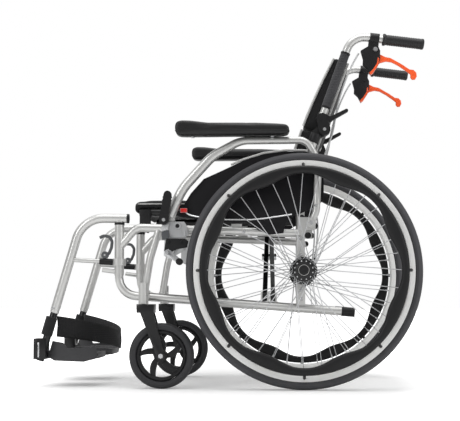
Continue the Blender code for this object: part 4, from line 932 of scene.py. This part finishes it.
def back_panel(name, node, body, low, high, front, rear):
    """A rounded panel from low to high along the tubes, bulged at mid-width and mid-height."""
    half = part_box(node)[1][0] - 0.0012
    across, up = 28, 22
    shape = bmesh.new()
    grid = {}
    for face_side in (0, 1):
        for i in range(across + 1):
            for j in range(up + 1):
                u, v = i / across * 2 - 1, j / up
                distance = low + (high - low) * v
                rim = (1 - abs(u) ** 6) * (1 - (abs(v * 2 - 1)) ** 8)
                quilt = 1 - 0.10 * max(0, 1 - abs(((distance + 0.02) % 0.075) - 0.0375) / 0.004)
                depth = stand_out(distance, front) * quilt if face_side == 0 else -rear
                depth *= 0.86 + 0.14 * max(rim, 0) ** 0.5
                depth = min(depth, room_in_front(distance))
                place = back_place(distance, depth)
                grid[face_side, i, j] = shape.verts.new((u * half, place.y, place.z))
    for face_side in (0, 1):
        for i in range(across):
            for j in range(up):
                face = [grid[face_side, i, j], grid[face_side, i + 1, j], grid[face_side, i + 1, j + 1],
                    grid[face_side, i, j + 1]]
                shape.faces.new(face)
    for i in range(across):
        for j in (0, up):
            shape.faces.new((grid[0, i, j], grid[0, i + 1, j], grid[1, i + 1, j], grid[1, i, j]))
    for j in range(up):
        for i in (0, across):
            shape.faces.new((grid[0, i, j], grid[0, i, j + 1], grid[1, i, j + 1], grid[1, i, j]))
    bmesh.ops.recalc_face_normals(shape, faces=shape.faces)
    panel = finished(shape, name, "woven_nylon", None)
    puff(panel, 0.005, 4.0, 0.0030)
    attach(panel, body)
    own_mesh(panel)
    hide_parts(node)
    for x in (-half + 0.002, half - 0.002):
        for edge in ("front", "rear"):
            points = []
            for j in range(21):
                distance = low + (high - low) * (0.02 + 0.96 * j / 20)
                depth = stand_out(distance, front) * 0.93 if edge == "front" else -rear * 0.9
                depth = min(depth, room_in_front(distance))
                place = back_place(distance, depth)
                points.append(Vector((x, place.y, place.z)))
            which = "left" if x > 0 else "right"
            cord = bar(f"{name}_{which}_{edge}_piping", points, 0.0030, "piping_cord", body, sides=12)
            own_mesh(cord)


back_panel("lower_back_pad", "back_upholstery_lower", "left_frame", -0.1170, 0.0300, 0.044, 0.017)
back_panel("upper_back_pad", "back_upholstery_upper", "left_back", 0.0340, 0.2410, 0.044, 0.017)

# %% [markdown]
# **Sleeves and calf strap.**  Open spacer mesh wraps each upper cane where the back's edge is
# laced on.  A wide webbing band hangs between the leg tubes behind the heels.  It joins in the
# middle with a hook-and-loop lap, so each half stays with its own legrest.

# %% Cane sleeves and heel straps
def strap_line(t, y, bottom, top):
    """The calf band at t, from leg tube to middle: its Y place, lower edge and upper edge."""
    return y + 0.140 * math.sin(t * math.pi / 2) ** 0.9, bottom - 0.039 * t, top - 0.045 * t


def webbing_strip(name, shape, grid, thickness, prefix):
    """Cloth through columns of vertices, given a thickness; it rides on its legrest."""
    for a, b in zip(grid, grid[1:]):
        for j in range(len(a) - 1):
            shape.faces.new((a[j], b[j], b[j + 1], a[j + 1]))
    strip = finished(shape, name, "webbing", None)
    wall = strip.modifiers.new("thickness", "SOLIDIFY")
    wall.thickness, wall.offset = thickness, 0
    strip.data = baked(strip)
    strip.modifiers.clear()
    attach(strip, prefix + "_legrest")
    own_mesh(strip)
    return strip
for prefix, side in SIDES.items():
    low = CANE_HIGH_START + CANE_WAY * 0.034
    high = CANE_HIGH_START + CANE_WAY * 0.1880
    path = [low.lerp(high, i / 12) + Vector((side * CANE_X, 0, 0)) for i in range(13)]
    ends = [1.02] + [1.06 + 0.012 * math.sin(i * 2.4) for i in range(11)] + [1.02]
    bar(prefix + "_cane_sleeve", path, 0.0116, "spacer_mesh", prefix + "_back", sides=28, share=ends)
    for i, place in enumerate((path[0], path[-1])):
        ring = [place - CANE_WAY * 0.0025, place + CANE_WAY * 0.0025]
        bar(f"{prefix}_sleeve_hem_{i}", ring, 0.0128, "webbing", prefix + "_back", sides=28)

    shape = bmesh.new()
    columns, rows = 40, 8
    grid = []
    for i in range(columns + 1):
        t = i / columns
        x = (1 - t) * (FRAME_X - 0.0150) + t * 0.0012
        y, bottom, top = strap_line(t, -0.655, 0.1320, 0.1870)
        line = []
        for j in range(rows + 1):
            v = j / rows
            sag = 0.0022 * math.sin(t * 9.0 + v * 2.0) * math.sin(math.pi * v)
            line.append(shape.verts.new((side * x, AXLE.y + y + sag, bottom + (top - bottom) * v)))
        grid.append(line)
    band = webbing_strip(prefix + "_calf_band", shape, grid, 0.0026, prefix)
    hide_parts(prefix + "_heel_strap")
    loop = along(side * (FRAME_X + 0.0002), ((-0.6655, 0.184), (-0.6790, 0.137)))
    bar(prefix + "_strap_loop", [loop[0], loop[0].lerp(loop[1], 0.5), loop[1]], 0.0150, "webbing",
        prefix + "_legrest", sides=28)
shape = bmesh.new()
grid = []
for i in range(17):
    x = -0.030 + 0.060 * i / 16
    y, bottom, top = strap_line(1 - abs(x) / (FRAME_X - 0.015), -0.6585, 0.1335, 0.1855)
    grid.append([shape.verts.new((x, AXLE.y + y, bottom + (top - bottom) * j / 4)) for j in range(5)])
lap = webbing_strip("calf_band_lap", shape, grid, 0.0022, "left")
print("sleeves and straps done")

# %% [markdown]
# **Small parts.**  A silver trim follows the top edge of each side guard.  The armrest's red
# release tab, the lock's black cover and roller, the cable's lower ferrule, the footplate's
# tread ribs and the silver stripe on its hinge finish the chair.

# %% Trim, tabs, covers and treads
COVER_X = 0.2525
DECK_Z, TREAD_END_X = 0.0895, 0.170
ROLLER = (-0.321, 0.328)
GUARD_TRIM = ((-0.190, 0.5855), (-0.160, 0.5985), (-0.104, 0.6155), (-0.044, 0.6235), (0.010, 0.6220),
    (0.040, 0.609))
LOCK_COVER = ((-0.360, 0.382), (-0.364, 0.357), (-0.351, 0.347), (-0.331, 0.361), (-0.303, 0.366),
    (-0.300, 0.382), (-0.309, 0.390), (-0.358, 0.391))
TOGGLE = ((-0.3690, 0.3860), (-0.3500, 0.3860), (-0.3520, 0.4110), (-0.3705, 0.4070))
CHEEK = ((-0.3700, 0.4080), (-0.3530, 0.4120), (-0.3520, 0.4330), (-0.3690, 0.4330))
CATCH = ((-0.5310, 0.3480), (-0.5150, 0.3510), (-0.5080, 0.3680), (-0.5065, 0.3850), (-0.5150, 0.3975),
    (-0.5300, 0.3990), (-0.5395, 0.3940))
# Each plate of the lock's casting: outline, inner and outer X, bevel.
CASTING = [(oblong((y, y + 0.0034), (0.3955, 0.4130)), 0.2315, 0.2365, 0.0008) for y in (-0.3215, -0.3120)]
CASTING += [(oblong((-0.3525, -0.3075), (0.3925, 0.3975)), 0.2315, 0.2385, 0.0008),
    (CHEEK, 0.2440, 0.2540, 0.0015)]
for prefix, side in SIDES.items():
    bar(prefix + "_guard_trim", rounded(along(side * 0.2232, GUARD_TRIM), 0.05, 4), 0.0030, "silver_paint",
        prefix + "_armrest", sides=12)
    cut_plate(prefix + "_red_tab", from_axle(oblong((-0.3228, -0.3047), (0.4582, 0.4698))),
        (side * 0.2253, side * 0.2376), 0.0020, 3, "red_gloss", prefix + "_armrest_catch", 45)
    cut_plate(prefix + "_lock_cover", from_axle(LOCK_COVER), (side * (COVER_X - 0.012),
        side * (COVER_X + 0.0012)), 0.0032, 4, "moulded_nylon", prefix + "_frame", 45)
    shape = bmesh.new()
    rod(shape, *crosswise(side, (-0.330, 0.423), 0.2320, 0.2375, 0.0105, 28, 0.0092))
    rod(shape, *crosswise(side, LOCK_PIVOT, 0.2320, 0.2538, 0.0095, 28))
    for outline, inner, outer, bevel in CASTING:
        plate(shape, from_axle(outline), side * inner, side * outer, bevel, 2)
    finished(shape, prefix + "_lock_casting", "cast_zinc", prefix + "_frame", crisp=42)
    cut_plate(prefix + "_lock_toggle", from_axle(TOGGLE), (side * 0.2430, side * 0.2528), 0.0020, 3,
        "grey_moulding", prefix + "_frame", 42)
    roller = rod_piece(prefix + "_lock_roller", [crosswise(side, ROLLER, 0.2628, 0.2790, 0.0090, 28)],
        "moulded_nylon", prefix + "_lock_arm")
    softened(roller, 0.0010, 2, 40)
    rod_piece(prefix + "_roller_bolt", [crosswise(side, ROLLER, 0.2788, 0.2812, 0.0042, 6)],
        "satin_black_enamel", prefix + "_lock_arm", smooth=False)

    low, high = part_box(prefix + "_footplate")
    inner = min(abs(low[0]), abs(high[0])) + 0.010
    ribs = []
    for row in range(11):
        y = low[1] + 0.012 + row * 0.0102
        ribs.append(((side * inner, y, DECK_Z), (side * TREAD_END_X, y, DECK_Z), 0.0011, 8))
    for column in range(2):
        x = inner - 0.003 + column * (TREAD_END_X - inner + 0.006)
        ribs.append(((side * x, low[1] + 0.008, DECK_Z), (side * x, low[1] + 0.118, DECK_Z), 0.0011, 8))
    rod_piece(prefix + "_tread", ribs, "grey_glass_nylon", prefix + "_foot")
    rear = low[1] + 0.0005
    cut_plate(prefix + "_hinge_stripe", oblong((rear - 0.0215, rear - 0.0175), (0.0790, 0.1180)),
        (side * 0.2250, side * 0.2262), 0.0004, 1, "bright_steel", prefix + "_legrest")

    rod_piece(prefix + "_cable_ferrule", [((side * 0.2245, AXLE.y + 0.030, 0.3330),
        (side * 0.2225, AXLE.y + 0.0315, 0.3480), 0.0042, 20)], "bright_steel", prefix + "_frame")
    hook = rounded(along(side * FRAME_X, CATCH), [0.008, 0.012, 0.012, 0.012, 0.012], 5)
    bar(prefix + "_catch_hook", hook, 0.0042, "grey_moulding", prefix + "_legrest_catch", sides=16,
        stands_for=[prefix + "_legrest_latch"])
    rod_piece(prefix + "_catch_cheeks", [((side * FRAME_X + way * 0.0032, AXLE.y - 0.525, 0.348),
        (side * FRAME_X + way * 0.0075, AXLE.y - 0.525, 0.348), 0.0100, 24, 0.0088) for way in (-1, 1)],
        "grey_moulding", prefix + "_legrest_catch", 40)
print("trim done")
